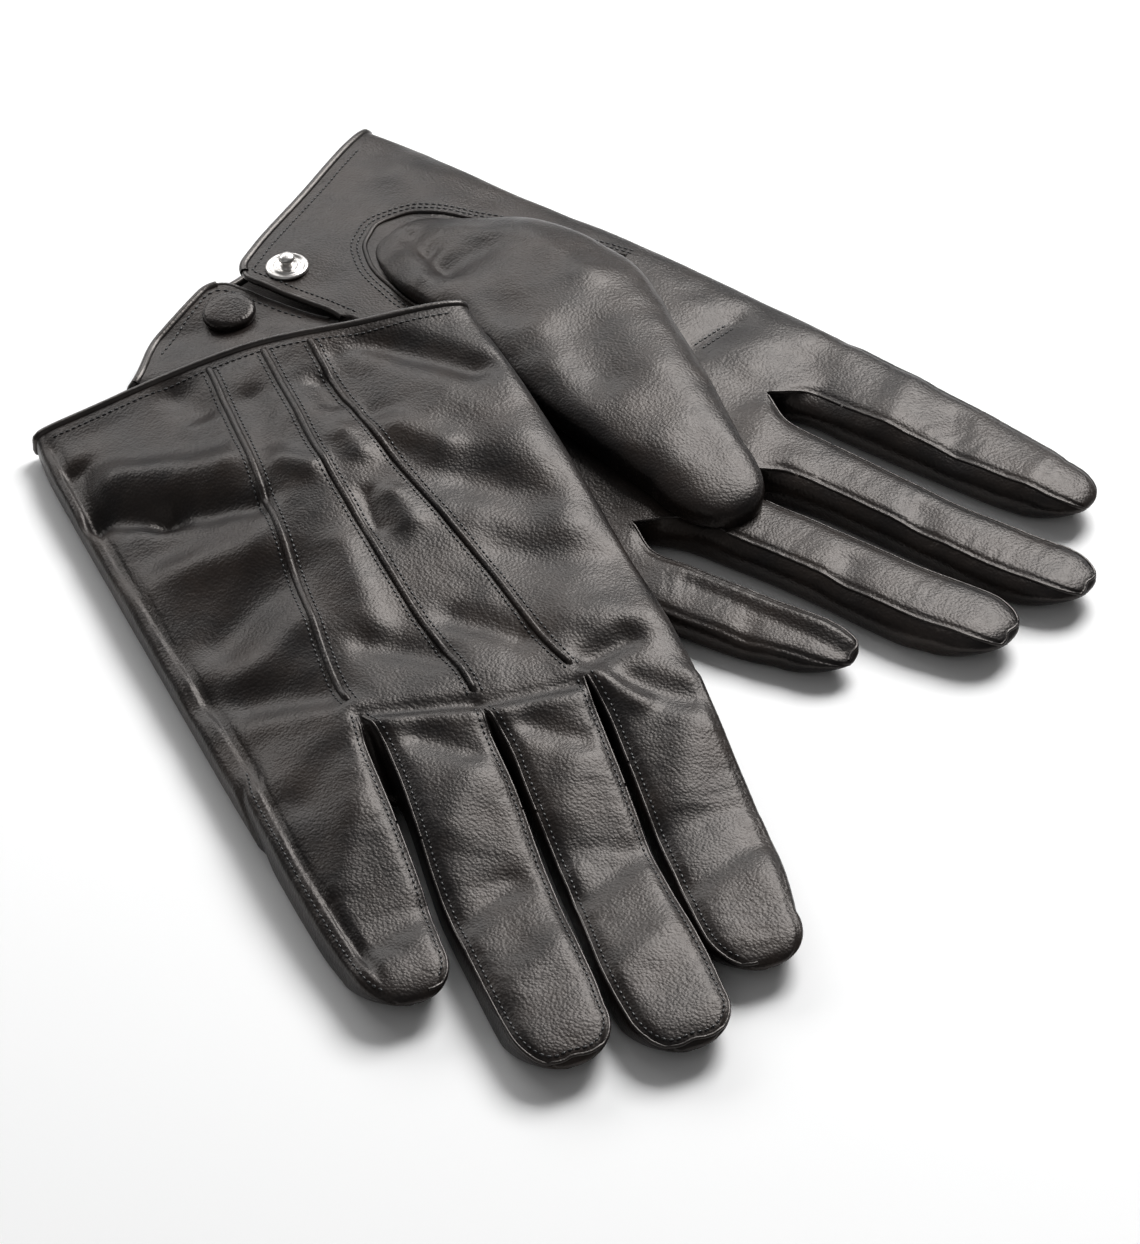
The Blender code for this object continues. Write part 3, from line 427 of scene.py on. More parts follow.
def pressRelief(g, points):
    # presses the dents and creases into the upper leather; the bound cuff stays even
    relief = g["relief"]
    u, v = points[:, 0], points[:, 1]
    share = ease((points[:, 2] - floorHeight(g, u, v)) / thickness(g, u, v) * 1.6 - 0.5)
    height = strokes(u, v, relief["marks"]) * relief["deep"]
    seed = 11 if g["palmUp"] else 23
    calm = 1 - 0.4 * ease((v - 140) / 20)  # the fingers lie flatter than the hand
    for number, (scale, high) in enumerate(relief["waves"]):
        height += softNoise(points, scale, seed + number) * high * calm
    if "sideSeam" in relief:
        away = (u - smoothLine(relief["sideSeam"], v)) / relief["seamWide"]
        height -= relief["seamDeep"] * np.exp(-away**2) * ease((relief["seamTop"] - v) / 12)
    for number, (tilt, pitch, high) in enumerate(relief["creases"]):
        finger = 0.35 + 0.65 * ease((v - 140) / 20)
        height += wavyCreases(points, tilt, pitch, seed + 9 + number) * high * finger
    points = points.copy()
    points[:, 2] += height * share * ease((v - smoothLine(g["cuff"], u)) / 9)
    return points


def shapeGlove(g):
    made = buildGlove(g)
    points, faces = weld(made["points"], made["faces"])
    return pressRelief(g, points), cleanFaces(faces), made


def cleanFaces(faces):
    # drops the corners that welding has joined
    lists = []
    for face in faces.tolist():
        short = [face[0]]
        for corner in face[1:]:
            if corner != short[-1] and corner != short[0]:
                short.append(corner)
        lists.append(short)
    return lists


def vertexNormals(points, lists):
    total = np.zeros_like(points)
    for size in (3, 4, 5, 6):
        some = np.array([f for f in lists if len(f) == size])
        if not len(some):
            continue
        middle = points[some].mean(axis=1)
        normal = np.zeros((len(some), 3))
        for i in range(size):
            normal += np.cross(points[some[:, i]] - middle, points[some[:, (i + 1) % size]] - middle)
        for i in range(size):
            np.add.at(total, some[:, i], normal)
    return total / np.maximum(np.linalg.norm(total, axis=1, keepdims=True), 1e-9)


def toWorld(g, points):
    turn = math.radians(g["turn"])
    c, s = math.cos(turn), math.sin(turn)
    x = g["at"][0] + points[:, 0] * c - points[:, 1] * s
    y = g["at"][1] + points[:, 0] * s + points[:, 1] * c
    return np.stack([x, y, points[:, 2]], axis=1) * mm


def addMesh(name, points, lists, finish):
    mesh = bpy.data.meshes.new(name)
    mesh.from_pydata([tuple(p) for p in points], [], lists)
    mesh.validate()
    mesh.update()
    mesh.polygons.foreach_set("use_smooth", [True] * len(mesh.polygons))
    mesh.materials.append(finish)
    obj = bpy.data.objects.new(name, mesh)
    bpy.context.scene.collection.objects.link(obj)
    return obj


def sewnPiece(name, g, points, normals, lists, finish, thick):
    # cuts one piece out of the glove's surface and gives it the thickness of its leather
    used = np.unique(np.concatenate([np.array(f) for f in lists]))
    new = {int(old): i for i, old in enumerate(used)}
    outer = [[new[c] for c in f] for f in lists]
    count = len(used)
    inner = [[c + count for c in reversed(f)] for f in outer]
    seen = {}
    for f in outer:
        for a, b in zip(f, f[1:] + f[:1]):
            seen[(a, b)] = True
    rims = [[b, a, a + count, b + count] for (a, b) in seen if (b, a) not in seen]
    pts = points[used]
    # the leather thins towards the fingertips, where its inside would come through
    near = np.full(count, 99.0)
    for finger in fingerNames:
        tipU, tipV = g["fingers"][finger][1]
        near = np.minimum(near, np.where(np.abs(pts[:, 0] - tipU) < 14, np.abs(tipV - pts[:, 1]), 99))
    deep = thick * (0.1 + 0.9 * ease((near - 1.5) / 8))
    both = np.concatenate([pts, pts - normals[used] * deep[:, None]])
    obj = addMesh(name, toWorld(g, both), outer + inner + rims, finish)
    mesh = obj.data
    if rims:
        edge = set()
        for b, a, c, d in rims:
            edge.add((min(a, b), max(a, b)))
            edge.add((min(c, d), max(c, d)))
        sharp = [tuple(sorted(e.vertices)) in edge for e in mesh.edges]
        attribute = mesh.attributes.new("sharp_edge", "BOOLEAN", "EDGE")
        attribute.data.foreach_set("value", sharp)
    return obj


def addNode(tree, kind, inputs=(), **settings):
    # a node with its settings; an input is joined to another node's socket or set to a value
    made = tree.nodes.new(kind)
    for label, value in settings.items():
        setattr(made, label, value)
    for label, value in dict(inputs).items():
        if isinstance(value, bpy.types.NodeSocket):
            tree.links.new(value, made.inputs[label])
        else:
            made.inputs[label].default_value = value
    return made


# finishes
def leatherFinish(name, s):
    # leather with patches of two tones, a pebble grain, broken fine creases and a soft unevenness
    made = bpy.data.materials.new(name)
    made.use_nodes = True
    tree = made.node_tree
    grain = s["grainScale"]
    place = addNode(tree, "ShaderNodeTexCoord").outputs["Object"]
    patches = addNode(tree, "ShaderNodeTexNoise", {"Vector": place, "Scale": s["patchScale"], "Detail": 5,
                                                   "Roughness": 0.6}).outputs["Fac"]
    colours = addNode(tree, "ShaderNodeValToRGB", {"Fac": patches})
    for stop, position, tone in zip(colours.color_ramp.elements, s["patchRange"], (s["dark"], s["light"])):
        stop.position = position
        stop.color = (*tone, 1)
    warp = addNode(tree, "ShaderNodeTexNoise", {"Vector": place, "Scale": grain * 0.35, "Detail": 2})
    shifted = addNode(tree, "ShaderNodeVectorMath",
                      {0: warp.outputs["Color"], 1: (0.6 / grain,) * 3, 2: place},
                      operation="MULTIPLY_ADD").outputs["Vector"]
    cells = addNode(tree, "ShaderNodeTexVoronoi", {"Vector": shifted, "Scale": grain, "Smoothness": 0.45},
                    feature="SMOOTH_F1")
    creases = addNode(tree, "ShaderNodeTexVoronoi", {"Vector": shifted, "Scale": grain * 0.36},
                      feature="DISTANCE_TO_EDGE")
    soft = addNode(tree, "ShaderNodeTexNoise",
                   {"Vector": place, "Scale": grain * 0.22, "Detail": 4}).outputs["Fac"]
    lines = addNode(tree, "ShaderNodeMapRange", {"Value": creases.outputs["Distance"], "From Min": 0.0,
                                                 "From Max": 0.12, "To Min": s["creaseDeep"],
                                                 "To Max": 0.0})
    broken = addNode(tree, "ShaderNodeMath", {0: lines.outputs["Result"], 1: patches}, operation="MULTIPLY")
    height = addNode(tree, "ShaderNodeMath", {0: cells.outputs["Distance"], 1: s["grainDeep"],
                                              2: broken.outputs["Value"]}, operation="MULTIPLY_ADD")
    height = addNode(tree, "ShaderNodeMath", {0: soft, 1: -s["softDeep"], 2: height.outputs["Value"]},
                     operation="MULTIPLY_ADD")
    turned = addNode(tree, "ShaderNodeMath", {0: height.outputs["Value"], 1: -1}, operation="MULTIPLY")
    bump = addNode(tree, "ShaderNodeBump",
                   {"Height": turned.outputs["Value"], "Strength": 1.0, "Distance": 0.001})
    rough = addNode(tree, "ShaderNodeMapRange",
                    {"Value": soft, "To Min": s["rough"][0], "To Max": s["rough"][1]})
    shader = tree.nodes["Principled BSDF"].inputs
    for label, socket in (("Normal", bump.outputs["Normal"]), ("Roughness", rough.outputs["Result"]),
                          ("Base Color", colours.outputs["Color"])):
        tree.links.new(socket, shader[label])
    shader["Specular IOR Level"].default_value = s["gloss"]
    shader["Specular Tint"].default_value = (*s["glossTint"], 1)
    shader["Sheen Weight"].default_value = s["sheen"]
    shader["Sheen Roughness"].default_value = 0.45
    shader["Sheen Tint"].default_value = (1.0, 0.86, 0.78, 1)
    return made


hairSheep = {"patchScale": 48, "patchRange": (0.4, 0.66), "dark": (0.0035, 0.0032, 0.0038),
             "light": (0.0165, 0.0118, 0.0098), "grainScale": 1450, "grainDeep": 0.075, "creaseDeep": 0.018,
             "softDeep": 0.02, "rough": (0.31, 0.43), "gloss": 0.31, "glossTint": (1.0, 0.91, 0.85),
             "sheen": 0.0}
rolledEdge = {**hairSheep, "light": (0.014, 0.0115, 0.011), "rough": (0.24, 0.36), "gloss": 0.5,
              "grainDeep": 0.04, "creaseDeep": 0.02}
brushedLining = {**hairSheep, "dark": (0.012, 0.012, 0.013), "light": (0.024, 0.023, 0.024),
                 "grainScale": 1700, "rough": (0.8, 0.95), "gloss": 0.2, "sheen": 0.3}
snapLeather = {**hairSheep, "grainScale": 1500, "rough": (0.26, 0.36)}
skinFinish = leatherFinish("blackHairsheep", hairSheep)
edgeFinish = leatherFinish("rolledEdgeLeather", rolledEdge)
liningFinish = leatherFinish("brushedLining", brushedLining)
capFinish = leatherFinish("capLeather", snapLeather)


def plainFinish(name, colour, rough, metal=0.0):
    made = bpy.data.materials.new(name)
    made.use_nodes = True
    shader = made.node_tree.nodes["Principled BSDF"]
    shader.inputs["Base Color"].default_value = (*colour, 1)
    shader.inputs["Roughness"].default_value = rough
    shader.inputs["Metallic"].default_value = metal
    return made


threadFinish = plainFinish("waxedThread", (0.003, 0.003, 0.004), 0.32)
nickelFinish = plainFinish("satinNickel", (0.6, 0.58, 0.56), 0.33, 1.0)
darkMetalFinish = plainFinish("darkMetal", (0.2, 0.19, 0.18), 0.38, 1.0)
floorFinish = plainFinish("paleTable", (0.93, 0.93, 0.93), 0.6)
print("finishes made")


flapCut = {"from": 16.5, "along": 39, "across": 34, "reach": 7.5, "leanV": -5.0, "leanZ": -3.0,
           "leanLong": 15, "cornerRound": 6.0}


def cuffAt(g, u):
    # the cuff line as the frame's flap has it
    return 7.7 + 0.103 * u if g["palmUp"] else 1.3 - 0.136 * u


def flapLine(g):
    # the fold of the button flap, from up the vent to along the cuff, and the way out to its corner
    vent, cuff = flapCut["from"], flapCut["from"] + flapCut["across"]
    start = np.array([vent, cuffAt(g, vent) + flapCut["along"]])
    stop = np.array([cuff, cuffAt(g, cuff)])
    along = (stop - start) / np.linalg.norm(stop - start)
    return start, stop, np.array([along[1], -along[0]])


def flapDepth(g, u, v):
    # how far a point lies past the fold towards the flap's corner
    start, _, out = flapLine(g)
    return (u - start[0]) * out[0] + (v - start[1]) * out[1]


def leanFlap(g, points):
    # the open flap leans towards the cuff and sags a little
    share = ease((flapDepth(g, points[:, 0], points[:, 1]) + flapCut["reach"]) / flapCut["leanLong"])
    if g["palmUp"]:
        points[:, 1] += flapCut["leanV"] * share
        points[:, 2] += flapCut["leanZ"] * share
    return points


def roundCorners(g, points, onPalm):
    # the two corners where the vent meets the cuff are cut round
    radius = flapCut["cornerRound"]
    for sign in (-1, 1):
        corner = leather["ventAt"] + sign * leather["ventWide"] / 2
        cu = corner + sign * radius
        cv = float(smoothLine(g["cuff"], corner)) + radius
        a = (points[:, 0] - cu) * -sign / radius
        b = (cv - points[:, 1]) / radius
        inside = onPalm & (a > 0) & (a < 1.12) & (b > 0) & (b < 1.3)
        far = np.hypot(a, b)
        share = np.where(inside, np.maximum(a, b) / np.maximum(far, 1e-6), 1)
        points[:, 0] = np.where(inside, cu - sign * a * share * radius, points[:, 0])
        points[:, 1] = np.where(inside, cv - b * share * radius, points[:, 1])
    return points


def cutFlap(g, points, lists, tags):
    # cuts the palm along a line just past the fold and tags the faces beyond it as the flap
    start, _, out = flapLine(g)
    at = start - out * flapCut["reach"]
    palmKind = 0 if g["palmUp"] else 1

    def isPalm(part, kind, f, r):
        return part == 0 and kind == palmKind and f >= 2 and r < grid["handRows"] // 2

    mesh = bmesh.new()
    verts = [mesh.verts.new(p) for p in points]
    layer = mesh.faces.layers.int.new("tag")
    near = []
    for number, corners in enumerate(lists):
        if len(corners) < 3:
            continue
        face = mesh.faces.new([verts[c] for c in corners])
        face[layer] = number
        if isPalm(*tags[number]):
            near.append(face)
    edges = list({e for face in near for e in face.edges})
    corners = list({v for face in near for v in face.verts})
    bmesh.ops.bisect_plane(mesh, geom=near + edges + corners, dist=1e-4, plane_co=(at[0], at[1], 0),
                           plane_no=(out[0], out[1], 0))
    mesh.verts.index_update()
    points = np.array([v.co for v in mesh.verts])
    lists, kinds = [], []
    for face in mesh.faces:
        part, kind, f, r = tags[face[layer]]
        middle = face.calc_center_median()
        beyond = (middle.x - at[0]) * out[0] + (middle.y - at[1]) * out[1] > 0
        if isPalm(part, kind, f, r) and middle.x > leather["ventAt"] and beyond:
            part = flapTag
        lists.append([v.index for v in face.verts])
        kinds.append((part, kind, f, r))
    mesh.free()
    return points, lists, np.array(kinds)


def probe(points, lists):
    return BVHTree.FromPolygons([tuple(p) for p in points], lists)


def onSurface(tree, path, rise=0.0, below=False):
    # drops (u, v) points onto the leather and gives the places and the way out of it
    places, ups = [], []
    for u, v in path:
        start = Vector((u, v, -50 if below else 90))
        hit, normal, _, _ = tree.ray_cast(start, Vector((0, 0, 1 if below else -1)))
        if hit is None:
            continue
        if (normal.z > 0) == below:
            normal = -normal
        places.append(hit + normal * rise)
        ups.append(normal)
    return np.array(places), np.array(ups)


def evenPath(path, step=1.0):
    path = np.array(path, float)
    long = np.concatenate([[0], np.cumsum(np.linalg.norm(np.diff(path, axis=0), axis=1))])
    count = max(2, int(long[-1] / step) + 1)
    at = np.linspace(0, long[-1], count)
    return np.stack([np.interp(at, long, path[:, i]) for i in range(path.shape[1])], axis=1)


def besidePath(path, away):
    # the same path moved sideways by so much, to its right as one walks along it
    path = np.array(path, float)
    run = np.gradient(path, axis=0)
    run /= np.maximum(np.linalg.norm(run, axis=1, keepdims=True), 1e-6)
    return path + away * np.stack([run[:, 1], -run[:, 0]], axis=1)


def newTree(name, sockets):
    tree = bpy.data.node_groups.new(name, "GeometryNodeTree")
    made = {}
    for label, kind in sockets:
        made[label] = tree.interface.new_socket(label, in_out="INPUT", socket_type=kind).identifier
    tree.interface.new_socket("Geometry", in_out="OUTPUT", socket_type="NodeSocketGeometry")
    return tree, made


def finishTree(tree, group, last):
    real = addNode(tree, "GeometryNodeRealizeInstances", {"Geometry": last})
    paint = addNode(tree, "GeometryNodeSetMaterial", {"Geometry": real.outputs["Geometry"],
                                                      "Material": group["Finish"]})
    addNode(tree, "NodeGroupOutput", {"Geometry": paint.outputs["Geometry"]})


def makeStitchTree():
    tree, sockets = newTree("stitchRow", (("Path", "NodeSocketGeometry"), ("Pitch", "NodeSocketFloat"),
                                          ("Size", "NodeSocketVector"), ("Finish", "NodeSocketMaterial")))
    group = addNode(tree, "NodeGroupInput").outputs
    curve = addNode(tree, "GeometryNodeMeshToCurve", {"Mesh": group["Path"]})
    even = addNode(tree, "GeometryNodeResampleCurve",
                   {"Curve": curve.outputs["Curve"], "Length": group["Pitch"]},
                   mode="LENGTH")
    bead = addNode(tree, "GeometryNodeMeshUVSphere", {"Segments": 7, "Rings": 5, "Radius": 0.5})
    shape = addNode(tree, "GeometryNodeTransform",
                    {"Geometry": bead.outputs["Mesh"], "Scale": group["Size"]})
    smooth = addNode(tree, "GeometryNodeSetShadeSmooth", {"Geometry": shape.outputs["Geometry"]})
    tangent = addNode(tree, "GeometryNodeInputTangent")
    up = addNode(tree, "GeometryNodeInputNamedAttribute", {"Name": "up"}, data_type="FLOAT_VECTOR")
    first = addNode(tree, "FunctionNodeAlignRotationToVector", {"Vector": tangent.outputs["Tangent"]},
                    axis="X")
    second = addNode(tree, "FunctionNodeAlignRotationToVector",
                     {"Rotation": first.outputs["Rotation"], "Vector": up.outputs["Attribute"]},
                     axis="Z", pivot_axis="X")
    place = addNode(tree, "GeometryNodeInstanceOnPoints",
                    {"Points": even.outputs["Curve"], "Instance": smooth.outputs["Geometry"],
                     "Rotation": second.outputs["Rotation"]})
    finishTree(tree, group, place.outputs["Instances"])
    return tree, sockets


def makeCordTree():
    tree, sockets = newTree("rolledCord", (("Path", "NodeSocketGeometry"), ("Radius", "NodeSocketFloat"),
                                           ("Sides", "NodeSocketInt"), ("Finish", "NodeSocketMaterial")))
    group = addNode(tree, "NodeGroupInput").outputs
    curve = addNode(tree, "GeometryNodeMeshToCurve", {"Mesh": group["Path"]})
    section = addNode(tree, "GeometryNodeCurvePrimitiveCircle",
                      {"Radius": group["Radius"], "Resolution": group["Sides"]})
    sweep = addNode(tree, "GeometryNodeCurveToMesh",
                    {"Curve": curve.outputs["Curve"], "Profile Curve": section.outputs["Curve"],
                     "Fill Caps": True})
    smooth = addNode(tree, "GeometryNodeSetShadeSmooth", {"Geometry": sweep.outputs["Mesh"]})
    finishTree(tree, group, smooth.outputs["Geometry"])
    return tree, sockets


stitchTree, stitchSockets = makeStitchTree()
cordTree, cordSockets = makeCordTree()


def alongPaths(name, g, paths, tree, sockets, values):
    # runs a tree along paths of (places, ups) in the glove's frame and gives one plain mesh
    verts, edges, ups = [], [], []
    for places, up in paths:
        if len(places) < 2:
            continue
        base = len(verts)
        verts += [tuple(p) for p in toWorld(g, places)]
        flat = toWorld(g, up) - toWorld(g, np.zeros((1, 3)))
        ups += [tuple(u / (np.linalg.norm(u) + 1e-12)) for u in flat]
        edges += [(base + i, base + i + 1) for i in range(len(places) - 1)]
    mesh = bpy.data.meshes.new(name + "Path")
    mesh.from_pydata(verts, edges, [])
    attribute = mesh.attributes.new("up", "FLOAT_VECTOR", "POINT")
    attribute.data.foreach_set("vector", np.array(ups).ravel())
    guide = bpy.data.objects.new(name + "Path", mesh)
    bpy.context.scene.collection.objects.link(guide)
    modifier = guide.modifiers.new(name, "NODES")
    modifier.node_group = tree
    for label, value in values.items():
        modifier[sockets[label]] = value
    graph = bpy.context.evaluated_depsgraph_get()
    made = bpy.data.meshes.new_from_object(guide.evaluated_get(graph))
    bpy.data.objects.remove(guide)
    made.name = name
    if "up" in made.attributes:
        made.attributes.remove(made.attributes["up"])
    obj = bpy.data.objects.new(name, made)
    bpy.context.scene.collection.objects.link(obj)
    return obj


def stitches(name, g, paths, pitch=1.6, size=(1.25, 0.58, 0.5)):
    return alongPaths(name, g, paths, stitchTree, stitchSockets,
                      {"Pitch": pitch * mm, "Size": tuple(x * mm for x in size), "Finish": threadFinish})


def cord(name, g, paths, radius, finish, sides=10):
    return alongPaths(name, g, paths, cordTree, cordSockets,
                      {"Radius": radius * mm, "Sides": sides, "Finish": finish})


def lathe(name, g, profile, u, v, z, finish, steps=48, tilt=(0, 0), down=False):
    # a round piece turned from (radius, height) pairs, from its axis below round to its axis on top
    points, faces = [], []
    for radius, high in profile:
        for i in range(steps):
            a = 2 * math.pi * i / steps
            points.append((radius * math.cos(a), radius * math.sin(a), high))
    rows = len(profile)
    for r in range(rows - 1):
        for i in range(steps):
            j = (i + 1) % steps
            faces.append([r * steps + i, r * steps + j, (r + 1) * steps + j, (r + 1) * steps + i])
    faces.append(list(range(steps - 1, -1, -1)))
    faces.append([(rows - 1) * steps + i for i in range(steps)])
    pts = np.array(points)
    if down:
        pts[:, 2] *= -1
        faces = [list(reversed(f)) for f in faces]
    pts[:, 2] += pts[:, 0] * tilt[0] + pts[:, 1] * tilt[1]
    pts += np.array([u, v, z])
    return addMesh(name, toWorld(g, pts), faces, finish)


def fingerBlend(piece):
    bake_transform(piece)


def flapBlend(piece):
    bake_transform(piece)


sleeve = {"rows": (2, 34), "under": 1.35, "thick": 0.5,
          "tipRows": 3}  # the lining, and where fourchettes end


def sewGlove(g):
    side = g["side"]
    points, lists, made = shapeGlove(g)
    low = floorHeight(g, points[:, 0], points[:, 1])
    thick = thickness(g, points[:, 0], points[:, 1])
    high = (points[:, 2] - low) / thick > 0.5
    points = roundCorners(g, points, high if g["palmUp"] else ~high)
    points, lists, tags = cutFlap(g, points, lists, made["tags"])
    isFlap = np.zeros(len(points), bool)
    for number, face in enumerate(lists):
        if tags[number][0] == flapTag:
            isFlap[face] = True
    leaned = leanFlap(g, points.copy())
    points[isFlap] = leaned[isFlap]
    normals = vertexNormals(points, lists)
    lastRow = grid["handRows"] + grid["fingerRows"] - sleeve["tipRows"]
    groups, inside = {}, []
    for number, face in enumerate(lists):
        part, kind, f, r = tags[number]
        key = "hand" if part == 0 else "buttonFlap" if part == flapTag else fingerNames[f]
        if part not in (0, flapTag) and r < lastRow and ((kind == 2 and f < 3) or (kind == 3 and f > 0)):
            other = fingerNames[f + 1] if kind == 2 else fingerNames[f - 1]
            key = f"{fingerNames[f]}Fourchette{other.capitalize()}Side"
        groups.setdefault(key, []).append(face)
        if part == 0 and sleeve["rows"][0] <= r < sleeve["rows"][1]:
            inside.append(face)
    for key, group in groups.items():
        name = f"{side}{key[0].upper()}{key[1:]}"
        piece = sewnPiece(name, g, points, normals, group, skinFinish, leather["thick"])
        if key == "hand":
            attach(piece, g["body"])
            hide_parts(f"{side}_hand")
        elif key == "buttonFlap":
            flapBlend(piece)
            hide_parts(f"{side}_button_flap")
        else:
            finger = next(n for n in fingerNames if key.startswith(n))
            fingerBlend(piece)
            other = [n for n in fingerNames if n.capitalize() in key]
            part = f"fourchette_{other[0]}_side" if other else "finger"
            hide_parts(f"{side}_{finger}_{part}")
    lining = sewnPiece(f"{side}Lining", g, points - normals * sleeve["under"], normals, inside,
                       liningFinish,
                       sleeve["thick"])
    rideOn(lining, g["body"], "lining", f"{side}_lining")
    g["probe"] = probe(points, lists)
    g["rings"] = made["rings"]
    print(side, "glove sewn,", len(points), "points")


def rideOn(piece, body, slot, *nodes):
    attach(piece, body)
    if nodes:
        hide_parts(*nodes)


leftGlove["relief"], rightGlove["relief"] = leftRelief, rightRelief
sewGlove(leftGlove)
sewGlove(rightGlove)


# a thumb's rows: (u, v, reach to the index side, reach to the little side, height) along it
thumbs = {
    "left": {"rows": ((-19.2, 32.5, 3, 3, 0.7), (-19.2, 36, 8.5, 8.5, 1.5), (-18.8, 43, 13, 14, 2.9),
                      (-18.5, 52, 17.2, 19, 5.2), (-17.8, 66, 22.5, 22.5, 8.2), (-13.5, 84, 26, 22.5, 9.8),
                      (-1, 108, 23, 22.5, 10.6), (9.5, 131, 18.5, 18.5, 10.2),
                      (18.5, 151, 13.2, 13.2, 8.6)),
             "tip": (26.2, 168.5), "fold": (-14.5, 80), "way": (0.447, 0.894)},
    "right": {"rows": ((-17, 38, 3, 3, 0.8), (-16, 42, 7, 7, 2.4), (-13, 50, 11, 11, 3.6),
                       (-8, 62, 13, 13, 4.4), (6, 94, 13, 13, 4.6), (16, 122, 11.5, 11.5, 4.6),
                       (20, 134, 10, 10, 4.2)),
              "tip": (25.5, 147), "fold": (-8, 62), "way": (0.4, 0.917)},
}
thumbMarks = (
    (-20, 62, -6, 58, 5, -1.2), (-30, 66, -22, 92, 5, 0.8), (-10, 66, 2, 84, 6, -0.9),
    (-18, 92, -6, 96, 7, 0.7), (-4, 100, 8, 118, 6, -0.9), (4, 96, 14, 108, 5, 0.5),
    (8, 122, 24, 128, 6, -0.5), (14, 142, 22, 150, 6, 0.5), (-19.9, 40, -13.4, 50, 2.0, -1.2),
    (-13.4, 50, -6.9, 62, 2.4, -1.5), (-9, 46, -3, 56, 3, 0.6), (-24, 46, -26, 60, 3.4, 0.8),
)


def palmLevel(g, u, v):
    # where the palm leather is: the top of the left glove, the underside of the right one
    if not g["palmUp"]:
        return floorHeight(g, u, v)
    left, right = smoothLine(g["index"], v), smoothLine(g["little"], v)
    x = np.clip(np.abs((u - (left + right) / 2) / ((right - left) / 2)), 0, 0.999)
    return thickness(g, u, v) * (0.5 + 0.5 * roundSide(x, grid["handPower"]))


thumbGrid = {"steps": 96, "around": 64, "tipRows": 20, "straight": 14, "power": 3.2}


def makeThumb(g, t):
    table = np.array(t["rows"], float)
    steps, around, tipRows = thumbGrid["steps"], thumbGrid["around"], thumbGrid["tipRows"]
    long = np.concatenate([[0], np.cumsum(np.linalg.norm(np.diff(table[:, :2], axis=0), axis=1))])
    reach = np.hypot(t["tip"][0] - table[-1, 0], t["tip"][1] - table[-1, 1])
    at = np.linspace(0, long[-1], steps)
    rows = []
    centre = np.stack([smoothLine(list(zip(long, table[:, i])), at) for i in range(5)], axis=1)
    way = np.gradient(centre[:, :2], axis=0)
    way /= np.linalg.norm(way, axis=1, keepdims=True)
    way[:thumbGrid["straight"]] = way[thumbGrid["straight"]]
    for row, run in zip(centre, way):
        rows.append((row, run, 1.0))
    end = (np.array(t["tip"]) - table[-1, :2]) / reach
    for i in range(1, tipRows + 1):
        theta = math.radians(88) * i / tipRows
        row = centre[-1].copy()
        row[:2] = table[-1, :2] + end * reach * math.sin(theta)
        rows.append((row, end, math.cos(theta)))
    power = thumbGrid["power"]
    points = []
    for row, run, shrink in rows:
        across = np.array([run[1], -run[0]])
        angle = np.linspace(0, 2 * math.pi, around, endpoint=False)
        c, s = np.cos(angle), np.sin(angle)
        x = np.sign(c) * np.abs(c) ** (2 / power)
        z = np.sign(s) * np.abs(s) ** (2 / power)
        half = np.where(x < 0, row[2], row[3]) * shrink**0.85
        u = row[0] + across[0] * x * half
        v = row[1] + across[1] * x * half
        high = row[4] * (0.12 + 0.88 * shrink**0.6)
        if g["palmUp"]:
            base = palmLevel(g, u, v) - 0.7
            level = base + high * (0.42 + 0.58 * z)
            level = np.where(z < 0, base + high * 0.42 * (1 + z), level)
            marks = strokes(u, v, thumbMarks)
            level = level + marks * ease(z * 1.5) * shrink
        else:
            base = palmLevel(g, u, v) + 0.4
            level = base - high * (0.45 - 0.45 * z)
        points.append(np.stack([u, v, level], axis=1))
    flat = np.concatenate(points)
    if g["palmUp"]:
        share = ease((flat[:, 2] - palmLevel(g, flat[:, 0], flat[:, 1])) / 5)
        swell = softNoise(flat, 22, 5) * 1.1 + softNoise(flat, 10, 6) * 0.4 + softNoise(flat, 5, 7) * 0.12
        flat[:, 2] += share * swell
    flat[:, 2] = np.maximum(flat[:, 2], 0.35)
    count = len(rows)
    lists = []
    for r in range(count - 1):
        for i in range(around):
            j = (i + 1) % around
            lists.append([r * around + j, r * around + i, (r + 1) * around + i, (r + 1) * around + j])
    lists.append(list(range(around)))
    lists.append([(count - 1) * around + i for i in reversed(range(around))])
    side = g["side"]
    piece = addMesh(f"{side}Thumb", toWorld(g, flat), lists, skinFinish)
    work = bmesh.new()
    work.from_mesh(piece.data)
    bmesh.ops.recalc_face_normals(work, faces=work.faces)
    work.to_mesh(piece.data)
    work.free()
    fold, way = np.array(t["fold"], float), np.array(t["way"])
    high = 18 if g["palmUp"] else 8
    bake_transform(piece)
    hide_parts(f"{side}_thumb", f"{side}_thumb_base")


makeThumb(leftGlove, thumbs["left"])
makeThumb(rightGlove, thumbs["right"])
print("thumbs made")


# ridges, seams and stitching on the backs and palms
pointsShape = {"radius": 0.88, "rise": 0.1, "under": 1.0, "from": 3.0, "stop": 4.0, "beside": 1.75,
               "dip": 0.9}
sewing = {"rise": 0.02, "step": 0.8, "fingerInset": 1.5, "fingerStep": 0.9, "seamInset": 0.25,
          "seamSink": 0.12, "seamRadius": 0.42, "seamEnd": 1.6, "longEnd": 3.2, "shortEnd": 6}


def fingerOutline(g, finger):
    # the two edges of a finger's upper sheet, from the hand to the tip
    rows = g["rings"][finger][grid["handRows"] + 1:]
    return rows[:, 0, :2], rows[:, grid["columns"] - 1, :2]


def splitAt(path, fold):
    return [p for p in path if p[1] < fold], [p for p in path if p[1] >= fold]


